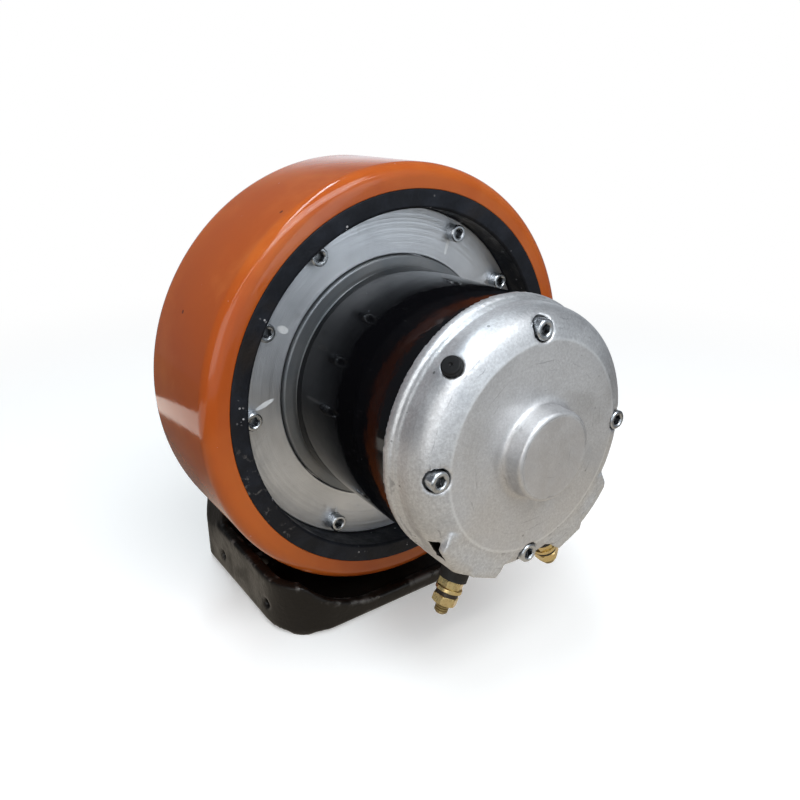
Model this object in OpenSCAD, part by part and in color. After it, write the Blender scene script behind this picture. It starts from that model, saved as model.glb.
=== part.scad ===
/* [Wheel] */
// Outside diameter of the polyurethane tread
tread_d = 210; // [206:1:216]
// Width of the tread and of the hub's rim
tread_w = 70; // [68:1:74]
// Thickness of the polyurethane on the rim
tread_t = 11.5; // [9:0.5:13]
// Rounding of the tread's front edge, on the motor's side
tread_round = 7; // [3:0.5:9]
// Rounding of the tread's back edge, on the bracket's side
tread_back_round = 10; // [6:0.5:11]
// Wall of the hub's rim round the front recess
rim_wall = 8.5; // [5:0.5:9]
// Wall of the hub between the front recess and the main bearing's seat
seat_wall = 10; // [9:0.5:12]
// Depth of the recess in front of the cover plate
recess_depth = 15; // [13:0.5:17]
// Wall of the hub behind the main bearing
hub_web_t = 8; // [6:0.5:10]
// Wall of the hub round the rear bearing
rear_boss_wall = 21; // [19:0.5:23]
// Number of ribs in the back of the hub
hub_ribs = 6; // [3:1:9]
// Thickness of each rib
hub_rib_t = 8; // [5:0.5:12]

/* [Cover plate] */
// Thickness of the cover plate
cover_t = 5; // [4:0.5:7]
// Metal between the main bearing's seat and the axis of the cover screws
cover_screw_edge = 3.4; // [3.2:0.1:4.4]
// Length of the cover screws below their heads
cover_screw_len = 16; // [10:1:18]
// Gap between the turning plate and the standing flange
seal_gap = 0.5; // [0.4:0.1:0.8]

/* [Reduction gear] */
// Wall of the drum round the large planet wheels, which leaves room for teeth of module 1
drum_wall = 4; // [3.6:0.1:5]
// Width of the teeth driven by the sun pinion
sun_stage_w = 11; // [8:0.5:12]
// Width of the teeth in the ring gear
ring_stage_w = 10; // [8:0.5:12]
// Diameter of the planet pins
pin_d = 7; // [5:0.5:7.5]
// Wall of the bronze bushes in the planets
bush_t = 1; // [0.6:0.1:1.2]
// Thickness of the carrier's middle plate
mid_plate_t = 5; // [4:0.5:8]
// Thickness of the ring gear's bolting flange
ring_flange_t = 4; // [3.5:0.5:6]
// Thickness taken off each tooth so that the mesh runs free
tooth_play = 0.08; // [0.06:0.01:0.14]

/* [Bearings] */
// Height of the main bearing's section from its bore to its outside
main_section = 15; // [14:0.5:16]
// Width of the main bearing
main_w = 16; // [15:0.5:18]
// Shoulder of the carrier's core that the rear bearing stands against
rear_step = 7.5; // [6:0.5:8.5]
// Height of the rear bearing's section from its bore to its outside
rear_section = 12.5; // [12:0.5:14]
// Width of the rear bearing
rear_w = 13; // [11:0.5:14]
// Bore of the motor's drive end bearing
drive_bore = 17; // [15:0.5:18]
// Outside diameter of the motor's drive end bearing
drive_od = 40; // [38:0.5:42]
// Width of the motor's drive end bearing
drive_w = 12; // [10:0.5:12]
// Bore of the motor's cap end bearing
tail_bore = 12; // [10:0.5:13]
// Outside diameter of the motor's cap end bearing
tail_od = 32; // [30:0.5:33]
// Width of the motor's cap end bearing
tail_w = 10; // [8:0.5:11]

/* [Motor] */
// Distance from the main bearing's bore in to the outside of the motor tube
motor_inset = 2.7; // [2:0.1:4]
// Wall of the motor tube
motor_wall = 3.8; // [3:0.1:4.2]
// Length of the motor tube
motor_len = 71.7; // [68:0.5:90]
// Thickness of the flange that carries the motor
flange_t = 7; // [6:0.5:9]
// Length of the dark neck between flange and tube
neck_len = 3; // [2:0.5:5]
// Thickness of the magnets
magnet_t = 6.8; // [5:0.2:8]
// Air gap between magnets and armature
air_gap = 1; // [0.6:0.1:1.5]
// Length of the armature core
core_len = 44; // [38:1:50]
// Number of armature slots
core_slots = 20; // [16:1:24]
// Diameter of the commutator
comm_d = 34; // [30:1:38]
// Length of the commutator
comm_len = 14; // [10:1:15]
// Diameter of the through bolts and of the cover screws
bolt_d = 5; // [4:0.5:5.5]

/* [End cap] */
// How far the cap's lip stands out round the motor tube
cap_lip = 1.7; // [1:0.1:2.2]
// Depth of the cap from the tube to its flat front
cap_len = 24.3; // [23:0.1:26]
// Radius of the cap's shoulder
cap_shoulder = 12; // [10:0.5:13]
// Thickness of the cap's front wall
cap_front_t = 6; // [5:0.5:7]
// Thickness of the cap's side wall
cap_side_t = 5; // [4:0.5:5.5]
// Distance from the motor tube's bore in to the axis of the through bolts
bolt_inset = 4.1; // [3.9:0.1:4.4]
// Diameter of the bearing boss
boss_d = 38.4; // [37.4:0.2:42]
// Height of the bearing boss above the front
boss_len = 9.7; // [9:0.1:11]
// Diameter of the round black plug
plug_d = 8; // [6:0.5:10]

/* [Terminals] */
// Diameter of the two terminal studs
stud_d = 6; // [5:0.5:6]
// Angle of each stud from the downward line
stud_angle = 24; // [22:0.5:26]
// Radius from the axis to the end of each stud
stud_reach = 83; // [81:0.5:86]
// Width of the terminal nuts across their flats
nut_af = 10; // [9:0.5:10]
// Height of each terminal nut
nut_h = 4; // [3.5:0.5:4.5]

/* [Bracket] */
// Width of the bracket's base
base_w = 151; // [148:1:160]
// How far the base stands out in front of the wheel
base_front = 5; // [4:0.5:9]
// Thickness of the base with its pads
base_t = 8; // [8:0.5:12]
// Height of the pads under the base
pad_h = 2; // [1:0.5:3]
// Gap between the tread and the base below it
wheel_gap = 7; // [6:0.5:12]
// Height of the walls along the base's sides
skirt_h = 29; // [24:1:32]
// Thickness of the walls round the base
skirt_t = 6; // [5:0.5:6]
// Distance between the mounting holes from side to side
mount_x = 120; // [116:1:122]
// Distance between the mounting holes from front to back
mount_y = 52; // [50:1:56]
// Diameter of the mounting holes
mount_d = 11; // [9:0.5:13]
// Thickness of the upright arm
upright_t = 24; // [21:0.5:27]
// Metal of the arm's round head outside the plate that clamps the spindle
head_wall = 8; // [5:0.5:10]
// Thickness of the plate that clamps the spindle
clamp_t = 6; // [6:0.5:8]

/* [Hidden] */
$fn = 72;

// Radial gap of parts that are pressed or located in each other
fit = 0.05;
// Radial gap of a pin that turns in its bush
run = 0.05;
// Gap between a turning face and the standing face beside it
face_gap = 0.5;
// Overlap that cuts run past the face they open
cut = 1;

// Radii from the tread inwards: rim, front recess, main bearing and motor tube
rim_r = tread_d / 2 - tread_t;
recess_r = rim_r - rim_wall;
main_od = 2 * (recess_r - seat_wall);
main_bore = main_od - 2 * main_section;
motor_d = main_bore - 2 * motor_inset;
cap_lip_d = motor_d + 2 * cap_lip;

// Teeth of the sun pinion, of the large and small planet wheels and of the ring gear
sun_teeth = 12;
planet_teeth = 48;
pinion_teeth = 15;
ring_teeth = 75;
// Shift of the sun's profile outwards, and of the large planet wheel's inwards
sun_shift = 0.3;
pressure_angle = 20;
planets = 3;
first_planet = 90;
// Module of all the teeth: the large planet wheels fill the drum up to the gap round their tips
drum_gap = 1.3;
gear_m = (main_bore / 2 - drum_wall - drum_gap) / (sun_teeth / 2 + planet_teeth + 1 - sun_shift);
planet_r = gear_m * (sun_teeth + planet_teeth) / 2;
sun_tip_r = gear_m * (sun_teeth / 2 + 1 + sun_shift);
planet_tip_r = gear_m * (planet_teeth / 2 + 1 - sun_shift);
pinion_tip_r = gear_m * (pinion_teeth / 2 + 1);
ring_tip_r = gear_m * (ring_teeth / 2 - 0.65);
ring_root_r = gear_m * (ring_teeth / 2 + 1.25);
bush_r = pin_d / 2 + bush_t;
core_r = ring_tip_r - 1.85;
rear_bore = 2 * (core_r - rear_step);
rear_od = rear_bore + 2 * rear_section;

// Metal behind the planet pins, length of the spindle's spacer, width of the rear seal, planets' washers
pin_wall = 5;
spacer_len = 9;
seal_w = 5;
washer_t = 2.7;

// Stations along the axle, measured from the wheel's front face towards the motor
cover_z = -recess_depth;
main_z = cover_z - cover_t;
mid_z = main_z - main_w;
ring_z = mid_z - mid_plate_t - cut;
core_z = ring_z - ring_stage_w - pin_wall;
rear_z = core_z - rear_w;
upright_z = rear_z - spacer_len;
back_z = upright_z - upright_t;
clamp_z = back_z + clamp_t;
flange_z = main_z + flange_t;
tube_z = flange_z + neck_len;
cap_z = tube_z + motor_len;
cap_front = cap_z + cap_len;
washer_z = main_z - washer_t;
planet_z = washer_z - 0.3;

// Radii of the hub
hub_bore_r = main_bore / 2 + 2;
ring_flange_r = main_bore / 2 - 2;
ring_body_r = ring_root_r + 8.25 * gear_m;
rear_throat_r = rear_od / 2 - 2.5;
boss_root_r = hub_bore_r + 2;
rear_boss_r = rear_od / 2 + rear_boss_wall;
back_wall = 11;
hub_back_z = min(ring_z - ring_flange_t, mid_z - hub_web_t) - 8;
seal_end_z = rear_z - seal_w;
cover_r = recess_r - fit;
cover_screw_r = main_od / 2 + cover_screw_edge;
flange_r = main_bore / 2 + 2;
cover_bore_r = flange_r + seal_gap;
seal_r = cover_bore_r + 6.5;
screw_groups = 3;
screws_per_group = 3;
first_screw = 2;
screw_step = 30;
ring_screw_r = ring_body_r + (ring_flange_r - ring_body_r) / 2;
ring_screw_n = 6;
ring_screw_d = (ring_flange_r - ring_body_r) / 2.2;

// Radii and gaps of the carrier
drum_in_r = planet_r + planet_tip_r + drum_gap;
pocket_r = pinion_tip_r + 0.7;
post_r = 8 * gear_m;
post_at = planet_r + 12 * gear_m;
post_hole_d = 6 * gear_m;
spindle_r = rear_bore / 2;
spacer_r = spindle_r + 4.5;
clamp_r = spindle_r + 10.5;
clamp_screw_n = 6;
clamp_screw_d = spindle_r * 8 / 27.5;
clamp_screw_r = spindle_r * 19 / 27.5;
clamp_gap = 0.3;
key_w = 8;
key_h = 7;
key_depth = 4;

// Radii and stations of the motor
motor_r = motor_d / 2;
bore_r = motor_r - motor_wall;
cap_bolt_r = bore_r - bolt_inset;
neck_r = bore_r + 2;
pilot_len = 7;
bell_r = bore_r - 4.5 * gear_m;
drive_z = main_z + 2;
drive_end = drive_z + drive_w;
shaft_r = drive_bore / 2;
drive_wall = 6;
magnet_r = bore_r - magnet_t;
core_rad = magnet_r - air_gap;
core_start = drive_end + 14;
core_end = core_start + core_len;
crown_len = 8;
crown_in = 24;
crown_r = core_rad - 2;
core_bore = shaft_r + 3.5;
comm_r = comm_d / 2;
comm_end = min(cap_front - 12, core_end + crown_len + comm_len);
comm_start = comm_end - comm_len;
comm_bars = core_slots;
magnet_z = core_start - 4;
magnet_len = core_len + 8;
shank_r = 5;

// Radii and stations of the end cap
cap_wall_r = cap_lip_d / 2 - 2;
cap_in_r = cap_wall_r - cap_side_t;
cap_inside = cap_front - cap_front_t;
boss_r = boss_d / 2;
tail_end = cap_front + boss_len - 3.7;
tail_z = tail_end - tail_w;
tail_shaft_r = tail_bore / 2;
bolt_seat = cap_front - bolt_d;
bolt_head_r = bolt_d * 0.85;
bolt_end = main_z + 2;
bolt_angles = [0, 90, 180, 270];
pillar_r = bolt_d / 2 + 3;
ear_v = cap_wall_r + 0.4;
plug_angle = 134;
plug_tilt = 19.5;
plug_h = 6;
plug_out = 2;
vent_angle = 217;
vent_w = 9;
vent_len = 5.2;

// Stations of the terminals, outwards along each stud
stud_z = cap_z + 6.3;
stud_angles = [270 - stud_angle, 270 + stud_angle];
stud_head = cap_in_r - 8;
bush_collar_r = 6.3;
nut_1 = ear_v + 9.1;
washer_1 = nut_1 + nut_h;
washer_h = 1.5;
spring_1 = washer_1 + washer_h;
spring_h = 2.2;
nut_2 = spring_1 + spring_h;

// Brush gear
brush_plate_t = 3;
brush_plate_z = cap_inside - brush_plate_t;
brush_w = 8;
brush_len = 10;
brush_z = brush_plate_z - brush_len - 2;
holder_wall = 1.6;
holder_in = comm_r + 3;
holder_out = holder_in + 20;
brush_out = holder_in + 12;
brush_angles = [45, 135, 225, 315];

// Bracket
axle_h = base_t + wheel_gap + tread_d / 2;
front_y = -tread_w / 2 - base_front;
upright_y = -tread_w / 2 - upright_z;
back_y = -tread_w / 2 - back_z;
front_corner = 26;
back_corner = 10;
pad_r = 9.5;
side_hole_d = 5;
side_hole_z = base_t + 4.5;
side_hole_y = [-14.5, 39.5];
head_r = clamp_r + head_wall;
shoulder_h = skirt_h - 4;
scoop_z = base_t + 1.5;
scoop_r = 58;
scoop_mid = base_w / 2 - 55.5;
rib_t = 8;

// Helpers

// Places its children on the wheel's axle, with local z pointing from the wheel's front face to the motor
module on_axle() {
    translate([0, -tread_w / 2, axle_h])
        rotate([90, 0, 0])
            children();
}

// Places its children on a line straight out from the axle
module outwards(angle, z) {
    rotate([0, 0, angle])
        translate([0, 0, z])
            rotate([0, 90, 0])
                children();
}

module around(count, r, start = 0) {
    for (k = [0 : count - 1])
        rotate([0, 0, start + k * 360 / count])
            translate([r, 0, 0])
                children();
}

// A ring from r_in to r_out between two stations
module ring(r_in, r_out, z_low, z_high) {
    rotate_extrude()
        translate([r_in, z_low])
            square([r_out - r_in, z_high - z_low]);
}

// A disc or shaft between two stations
module rod(r, z_low, z_high) {
    translate([0, 0, z_low])
        cylinder(h = z_high - z_low, r = r);
}

// A flat rectangle whose outer corners are round
module outer_round_2d(r_in, r_out, z_low, z_high, round_low, round_high) {
    middle = (z_low + z_high) / 2;
    translate([r_in, z_low + round_low])
        square([r_out - r_in, z_high - z_low - round_low - round_high]);
    translate([r_in, z_low])
        square([r_out - r_in - round_low, middle - z_low]);
    translate([r_in, middle])
        square([r_out - r_in - round_high, z_high - middle]);
    translate([r_out - round_low, z_low + round_low])
        circle(r = round_low);
    translate([r_out - round_high, z_high - round_high])
        circle(r = round_high);
}

// A cylinder head screw: its head stands on z = 0 and its shank points down
module socket_screw(d, len, head_r, head_h) {
    difference() {
        rotate_extrude()
            polygon([
                [0, -len], [d / 2 - 0.6, -len], [d / 2, -len + 0.6], [d / 2, 0],
                [head_r, 0], [head_r, head_h - 0.5], [head_r - 0.5, head_h], [0, head_h]
            ]);
        translate([0, 0, head_h * 0.4])
            cylinder(h = head_h, r = d * 0.5, $fn = 6);
        translate([0, 0, head_h - d * 0.08])
            cylinder(h = d * 0.1, r1 = d * 0.48, r2 = d * 0.58);
    }
}

// A countersunk screw: its flat head ends at z = 0 and its shank points down
module flat_screw(d, len) {
    difference() {
        rotate_extrude()
            polygon([
                [0, -len], [d / 2 - 0.5, -len], [d / 2, -len + 0.5], [d / 2, -d / 2], [d, 0], [0, 0]
            ]);
        translate([0, 0, -d * 0.35])
            cylinder(h = d, r = d * 0.36, $fn = 6);
    }
}

// The hole that a countersunk screw sits in
module flat_screw_hole(d, len) {
    rotate_extrude()
        polygon([
            [0, -len], [d / 2 + fit, -len], [d / 2 + fit, -d / 2], [d + fit, 0], [d + fit, cut], [0, cut]
        ]);
}

// Angle between a tooth's middle and its flank at radius r, for a tooth that is thick wide at pitch_r
function involute(r, base_r) =
    let (t = sqrt(max(0, r * r / (base_r * base_r) - 1)))
    t * 180 / PI - atan(t);
function flank_angle(r, pitch_r, base_r, thick) =
    thick / (2 * pitch_r) * 180 / PI + involute(pitch_r, base_r) - involute(max(r, base_r), base_r);
function at(r, angle) = [r * cos(angle), r * sin(angle)];

// Outline of an involute gear, flat flanks in a few steps, with a tooth on the x axis turned by phase
function gear_points(teeth, root_r, tip_r, thick, phase) =
    let (
        pitch_r = gear_m * teeth / 2,
        base_r = pitch_r * cos(pressure_angle),
        low_r = max(root_r, base_r),
        steps = 3,
        radii = concat(root_r < base_r ? [root_r] : [], [for (i = [0 : steps]) low_r + (tip_r - low_r) * i / steps])
    )
    [
        for (k = [0 : teeth - 1])
            let (middle = phase + k * 360 / teeth)
            each concat(
                [for (r = radii) at(r, middle - flank_angle(r, pitch_r, base_r, thick))],
                [for (i = [len(radii) - 1 : -1 : 0])
                    at(radii[i], middle + flank_angle(radii[i], pitch_r, base_r, thick))]
            )
    ];

function tooth_thick(shift) = gear_m * (PI / 2 + 2 * shift * tan(pressure_angle)) - tooth_play;

module sun_outline() {
    root = gear_m * (sun_teeth / 2 - 1.25 + sun_shift);
    polygon(gear_points(sun_teeth, root, sun_tip_r, tooth_thick(sun_shift), first_planet));
}

module planet_outline() {
    root = gear_m * (planet_teeth / 2 - 1.25 - sun_shift);
    polygon(gear_points(planet_teeth, root, planet_tip_r, tooth_thick(-sun_shift), 180 / planet_teeth));
}

module pinion_outline() {
    polygon(gear_points(pinion_teeth, gear_m * (pinion_teeth / 2 - 1.25), pinion_tip_r, tooth_thick(0), 0));
}

// The hollow inside the ring gear: its outline is a gear as wide as the spaces
module ring_hollow() {
    space = gear_m * PI / 2 + tooth_play;
    polygon(gear_points(ring_teeth, ring_tip_r, ring_root_r, space, first_planet));
}

// The parts of a ball bearing, with half_ball as the balls' radius
module race(r_in, r_out, pitch, ball_r, z, w) {
    rotate_extrude()
        difference() {
            translate([r_in, z])
                square([r_out - r_in, w]);
            translate([pitch, z + w / 2])
                circle(r = ball_r + fit);
        }
}

module inner_race(bore, od, w, z) {
    pitch = (bore + od) / 4;
    ball_r = (od - bore) / 4 * 0.59;
    race(bore / 2, pitch - ball_r * 0.5, pitch, ball_r, z, w);
}

module outer_race(bore, od, w, z) {
    pitch = (bore + od) / 4;
    ball_r = (od - bore) / 4 * 0.59;
    race(pitch + ball_r * 0.5, od / 2 - fit, pitch, ball_r, z, w);
}

module ball_set(bore, od, w, z, count) {
    pitch = (bore + od) / 4;
    ball_r = (od - bore) / 4 * 0.59;
    difference() {
        ring(pitch - ball_r * 0.3, pitch + ball_r * 0.3, z + w * 0.16, z + w * 0.84);
        for (k = [0 : count - 1])
            outwards(k * 360 / count, z + w / 2)
                translate([0, 0, pitch - ball_r])
                    cylinder(h = 2 * ball_r, r = ball_r + 0.15);
    }
    around(count, pitch)
        translate([0, 0, z + w / 2])
            sphere(r = ball_r);
}

// Wheel

module tread() {
    color("peru")
        on_axle()
            rotate_extrude()
                difference() {
                    outer_round_2d(rim_r - 1, tread_d / 2, -tread_w, 0, tread_back_round, tread_round);
                    translate([0, -tread_w - cut])
                        square([rim_r + fit, tread_w + 2 * cut]);
                }
}

module hub_profile() {
    polygon([
        [recess_r + 1, 0], [rim_r, 0], [rim_r, -tread_w],
        [rim_r - back_wall, -tread_w], [rim_r - back_wall - 2, hub_back_z],
        [boss_root_r, hub_back_z], [rear_boss_r + 3, -tread_w + 1],
        [rear_boss_r, -tread_w], [rear_boss_r - 1, seal_end_z], [rear_od / 2, seal_end_z],
        [rear_od / 2, core_z], [rear_throat_r, core_z], [rear_throat_r, ring_z - ring_stage_w],
        [ring_body_r + fit, ring_z - ring_stage_w], [ring_body_r + fit, ring_z - ring_flange_t],
        [ring_flange_r + fit, ring_z - ring_flange_t], [ring_flange_r + fit, ring_z],
        [hub_bore_r, ring_z], [hub_bore_r, mid_z], [main_od / 2, mid_z],
        [main_od / 2, main_z], [recess_r, main_z], [recess_r, -1]
    ]);
}

module wheel_hub() {
    color([0.12, 0.12, 0.13])
        on_axle()
            difference() {
                union() {
                    rotate_extrude()
                        hub_profile();
                    for (k = [0 : hub_ribs - 1])
                        rotate([0, 0, k * 360 / hub_ribs])
                            translate([rear_boss_r, -hub_rib_t / 2, -tread_w + 4])
                                cube([rim_r - back_wall - rear_boss_r, hub_rib_t, hub_back_z + tread_w - 4]);
                }
                cover_screw_places()
                    translate([0, 0, -cover_screw_len - 2])
                        cylinder(h = cover_screw_len + 4, r = bolt_d / 2 + fit);
                around(ring_screw_n, ring_screw_r)
                    rod(ring_screw_d / 2 + fit, ring_z - 13, ring_z);
            }
}

// The nine cover screws stand in three groups of three, on every thirtieth degree
module cover_screw_places() {
    for (g = [0 : screw_groups - 1])
        for (k = [0 : screws_per_group - 1])
            rotate([0, 0, first_screw + g * 360 / screw_groups + k * screw_step])
                translate([cover_screw_r, 0, cover_z])
                    children();
}

module cover_plate() {
    color([0.75, 0.77, 0.79])
        on_axle()
            difference() {
                rotate_extrude()
                    polygon([
                        [cover_bore_r + 0.4, cover_z], [cover_r - 0.6, cover_z], [cover_r, cover_z - 0.6],
                        [cover_r, main_z], [seal_r, main_z], [seal_r, cover_z - 2],
                        [cover_bore_r, cover_z - 2], [cover_bore_r, cover_z - 0.4]
                    ]);
                cover_screw_places()
                    translate([0, 0, -cover_t - cut])
                        cylinder(h = cover_t + 2 * cut, r = bolt_d / 2 + 0.25);
            }
}

module cover_screws() {
    color([0.55, 0.57, 0.6])
        on_axle()
            cover_screw_places()
                socket_screw(bolt_d, cover_screw_len, bolt_head_r, bolt_d);
}

module cover_seal() {
    color([0.05, 0.05, 0.05])
        on_axle()
            rotate_extrude()
                polygon([
                    [cover_bore_r - 0.15, cover_z - 2.05], [seal_r - fit, cover_z - 2.05],
                    [seal_r - fit, main_z + 0.4], [cover_bore_r + 2, main_z + 0.4],
                    [cover_bore_r - 0.15, cover_z - 3.2]
                ]);
}

module rear_seal() {
    color([0.05, 0.05, 0.05])
        on_axle()
            ring(spacer_r + 0.4, rear_od / 2 - fit, seal_end_z, rear_z - 0.4);
}

module ring_gear() {
    color([0.6, 0.6, 0.62])
        on_axle()
            difference() {
                union() {
                    rod(ring_flange_r, ring_z - ring_flange_t, ring_z);
                    rod(ring_body_r, ring_z - ring_stage_w, ring_z);
                }
                translate([0, 0, ring_z - ring_stage_w - cut])
                    linear_extrude(ring_stage_w + 2 * cut)
                        ring_hollow();
                around(ring_screw_n, ring_screw_r)
                    translate([0, 0, ring_z])
                        flat_screw_hole(ring_screw_d, ring_flange_t + cut);
            }
}

module ring_screws() {
    color([0.3, 0.3, 0.32])
        on_axle()
            around(ring_screw_n, ring_screw_r)
                translate([0, 0, ring_z])
                    flat_screw(ring_screw_d, 12);
}

module main_bearing_outer() {
    color([0.8, 0.8, 0.82])
        on_axle()
            outer_race(main_bore, main_od, main_w, mid_z);
}

module rear_bearing_outer() {
    color([0.8, 0.8, 0.82])
        on_axle()
            outer_race(rear_bore, rear_od, rear_w, rear_z);
}

// Standing gear case parts

module main_bearing_inner() {
    color([0.8, 0.8, 0.82])
        on_axle()
            inner_race(main_bore, main_od, main_w, mid_z);
}

module main_bearing_balls() {
    color([0.9, 0.9, 0.92])
        on_axle()
            ball_set(main_bore, main_od, main_w, mid_z, 20);
}

module rear_bearing_inner() {
    color([0.8, 0.8, 0.82])
        on_axle()
            inner_race(rear_bore, rear_od, rear_w, rear_z);
}

module rear_bearing_balls() {
    color([0.9, 0.9, 0.92])
        on_axle()
            ball_set(rear_bore, rear_od, rear_w, rear_z, 14);
}

// The carrier is one casting: drum for the large planet wheels, slotted core for the small ones, and spindle
module gear_carrier() {
    color([0.4, 0.41, 0.43])
        on_axle()
            difference() {
                union() {
                    ring(drum_in_r, main_bore / 2 - fit, mid_z - cut, main_z);
                    rod(main_bore / 2 - fit, mid_z - mid_plate_t, mid_z);
                    rod(core_r, core_z, mid_z - mid_plate_t);
                    rod(spindle_r - fit, clamp_z + clamp_gap, core_z);
                    around(planets, post_at, first_planet + 180 / planets) {
                        rod(post_r, mid_z, main_z);
                        translate([0, 1.5 - post_r, mid_z])
                            cube([main_bore / 2 - post_at - 2, 2 * post_r - 3, main_w]);
                    }
                }
                around(planets, planet_r, first_planet) {
                    rod(pocket_r, ring_z - ring_stage_w - face_gap, mid_z + cut);
                    rod(pin_d / 2 + fit, core_z + 0.7, mid_z);
                }
                around(planets, post_at, first_planet + 180 / planets)
                    rod(post_hole_d / 2 + fit, main_z - 12, main_z + cut);
                rod(12, ring_z - 7, mid_z + cut);
                around(clamp_screw_n, clamp_screw_r)
                    rod(clamp_screw_d / 2 + fit, clamp_z - cut, clamp_z + 16);
                translate([-key_w / 2 - fit, spindle_r - key_depth, clamp_z - cut])
                    cube([key_w + 2 * fit, key_depth + cut, upright_t - clamp_t]);
            }
}

module spindle_spacer() {
    color([0.6, 0.6, 0.62])
        on_axle()
            ring(spindle_r, spacer_r, upright_z, rear_z);
}

module spindle_clamp() {
    color([0.3, 0.3, 0.32])
        on_axle()
            difference() {
                rod(clamp_r, back_z, clamp_z);
                around(clamp_screw_n, clamp_screw_r)
                    translate([0, 0, back_z])
                        mirror([0, 0, 1])
                            flat_screw_hole(clamp_screw_d, clamp_t + cut);
            }
}

module spindle_screws() {
    color([0.2, 0.2, 0.21])
        on_axle()
            around(clamp_screw_n, clamp_screw_r)
                translate([0, 0, back_z])
                    mirror([0, 0, 1])
                        flat_screw(clamp_screw_d, 20);
}

module spindle_key() {
    color([0.6, 0.6, 0.62])
        on_axle()
            translate([-key_w / 2, spindle_r - key_depth + fit, clamp_z + 0.5])
                cube([key_w, key_h, upright_t - clamp_t - 2]);
}

module planet_pins() {
    color([0.8, 0.8, 0.82])
        on_axle()
            around(planets, planet_r, first_planet)
                rod(pin_d / 2, core_z + 1, main_z + 4);
}

module thrust_washers() {
    color("darkgoldenrod")
        on_axle()
            around(planets, planet_r, first_planet)
                ring(pin_d / 2 + fit, pocket_r - 1.2, washer_z, main_z);
}

// Planets

module planet_places(k) {
    on_axle()
        rotate([0, 0, first_planet + (k - 1) * 360 / planets])
            translate([planet_r, 0, 0])
                children();
}

module planet_gear(k) {
    wide_end = planet_z - sun_stage_w;
    small_end = ring_z - ring_stage_w;
    color([0.66, 0.66, 0.68])
        planet_places(k)
            difference() {
                union() {
                    translate([0, 0, wide_end])
                        linear_extrude(sun_stage_w)
                            planet_outline();
                    rod(pinion_tip_r - 0.7 * gear_m, ring_z + 0.3, wide_end);
                    translate([0, 0, small_end])
                        linear_extrude(ring_z + 0.6 - small_end)
                            pinion_outline();
                }
                rod(bush_r, small_end - cut, planet_z + cut);
            }
}

module planet_bush(k) {
    color("darkgoldenrod")
        planet_places(k)
            ring(pin_d / 2 + run, bush_r - fit / 2, ring_z - ring_stage_w + 0.2, planet_z - 0.2);
}

module planet_gear_1() {
    planet_gear(1);
}

module planet_gear_2() {
    planet_gear(2);
}

module planet_gear_3() {
    planet_gear(3);
}

module planet_bush_1() {
    planet_bush(1);
}

module planet_bush_2() {
    planet_bush(2);
}

module planet_bush_3() {
    planet_bush(3);
}

// Motor, standing parts

module motor_flange() {
    color([0.36, 0.39, 0.42])
        on_axle()
            difference() {
                union() {
                    rotate_extrude()
                        polygon([
                            [0, main_z], [flange_r, main_z], [flange_r, flange_z - 0.5],
                            [flange_r - 0.5, flange_z], [0, flange_z]
                        ]);
                    rod(neck_r, main_z, tube_z);
                    rod(bore_r - fit, main_z, tube_z + pilot_len);
                }
                difference() {
                    rod(bell_r, flange_z, tube_z + pilot_len + cut);
                    rod(drive_od / 2 + drive_wall, flange_z - cut, drive_end);
                }
                rod(drive_od / 2, drive_z, tube_z + pilot_len + cut);
                rod(drive_od / 2 - 6, main_z - cut, drive_z + cut);
                for (a = bolt_angles)
                    rotate([0, 0, a])
                        translate([cap_bolt_r, 0, 0]) {
                            rod(bolt_d / 2 + fit, main_z - cut, tube_z + cut);
                            rod(bolt_d / 2 + 2.4, tube_z, tube_z + pilot_len + cut);
                        }
                around(planets, planet_r, first_planet)
                    rod(pin_d / 2 + fit, main_z - cut, main_z + 4.3);
                around(planets, post_at, first_planet + 180 / planets)
                    rod(post_hole_d / 2 + fit, main_z - cut, flange_z + cut);
            }
}

module flange_screws() {
    color([0.3, 0.3, 0.32])
        on_axle()
            around(planets, post_at, first_planet + 180 / planets)
                translate([0, 0, flange_z])
                    socket_screw(post_hole_d, flange_t + 10, post_hole_d * 0.8, 5);
}

module motor_housing() {
    color([0.04, 0.04, 0.05])
        on_axle()
            rotate_extrude()
                polygon([
                    [bore_r, tube_z], [motor_r - 0.6, tube_z], [motor_r, tube_z + 0.6],
                    [motor_r, cap_z - 0.4], [motor_r - 0.4, cap_z], [bore_r, cap_z]
                ]);
}

module magnets() {
    span = 66;
    color([0.25, 0.24, 0.24])
        on_axle()
            for (a = bolt_angles)
                rotate([0, 0, a + 45 - span / 2])
                    rotate_extrude(angle = span)
                        translate([magnet_r, magnet_z])
                            square([magnet_t - fit, magnet_len]);
}

// The cast end cap: lip, step, side wall, round shoulder, flat front and bearing boss
module cap_profile() {
    lip_t = 4;
    translate([0, cap_z])
        square([cap_lip_d / 2 - 0.8, lip_t]);
    translate([0, cap_z])
        square([cap_lip_d / 2, lip_t - 0.8]);
    translate([cap_lip_d / 2 - 0.8, cap_z + lip_t - 0.8])
        circle(r = 0.8);
    translate([0, cap_z])
        square([cap_wall_r + 0.7, lip_t + 2]);
    translate([0, cap_z])
        square([cap_wall_r - 0.6, cap_len - cap_shoulder]);
    translate([0, cap_z + lip_t + 3])
        square([cap_wall_r, cap_len - cap_shoulder - lip_t - 3]);
    translate([0, cap_z])
        square([cap_wall_r - cap_shoulder, cap_len]);
    translate([cap_wall_r - cap_shoulder, cap_front - cap_shoulder])
        circle(r = cap_shoulder);
    difference() {
        translate([0, cap_front])
            square([boss_r + 3, 3]);
        translate([boss_r + 3, cap_front + 3])
            circle(r = 3);
    }
    translate([0, cap_front])
        square([boss_r - 1.5, boss_len]);
    translate([0, cap_front])
        square([boss_r, boss_len - 1.5]);
    translate([boss_r - 1.5, cap_front + boss_len - 1.5])
        circle(r = 1.5);
}

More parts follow.
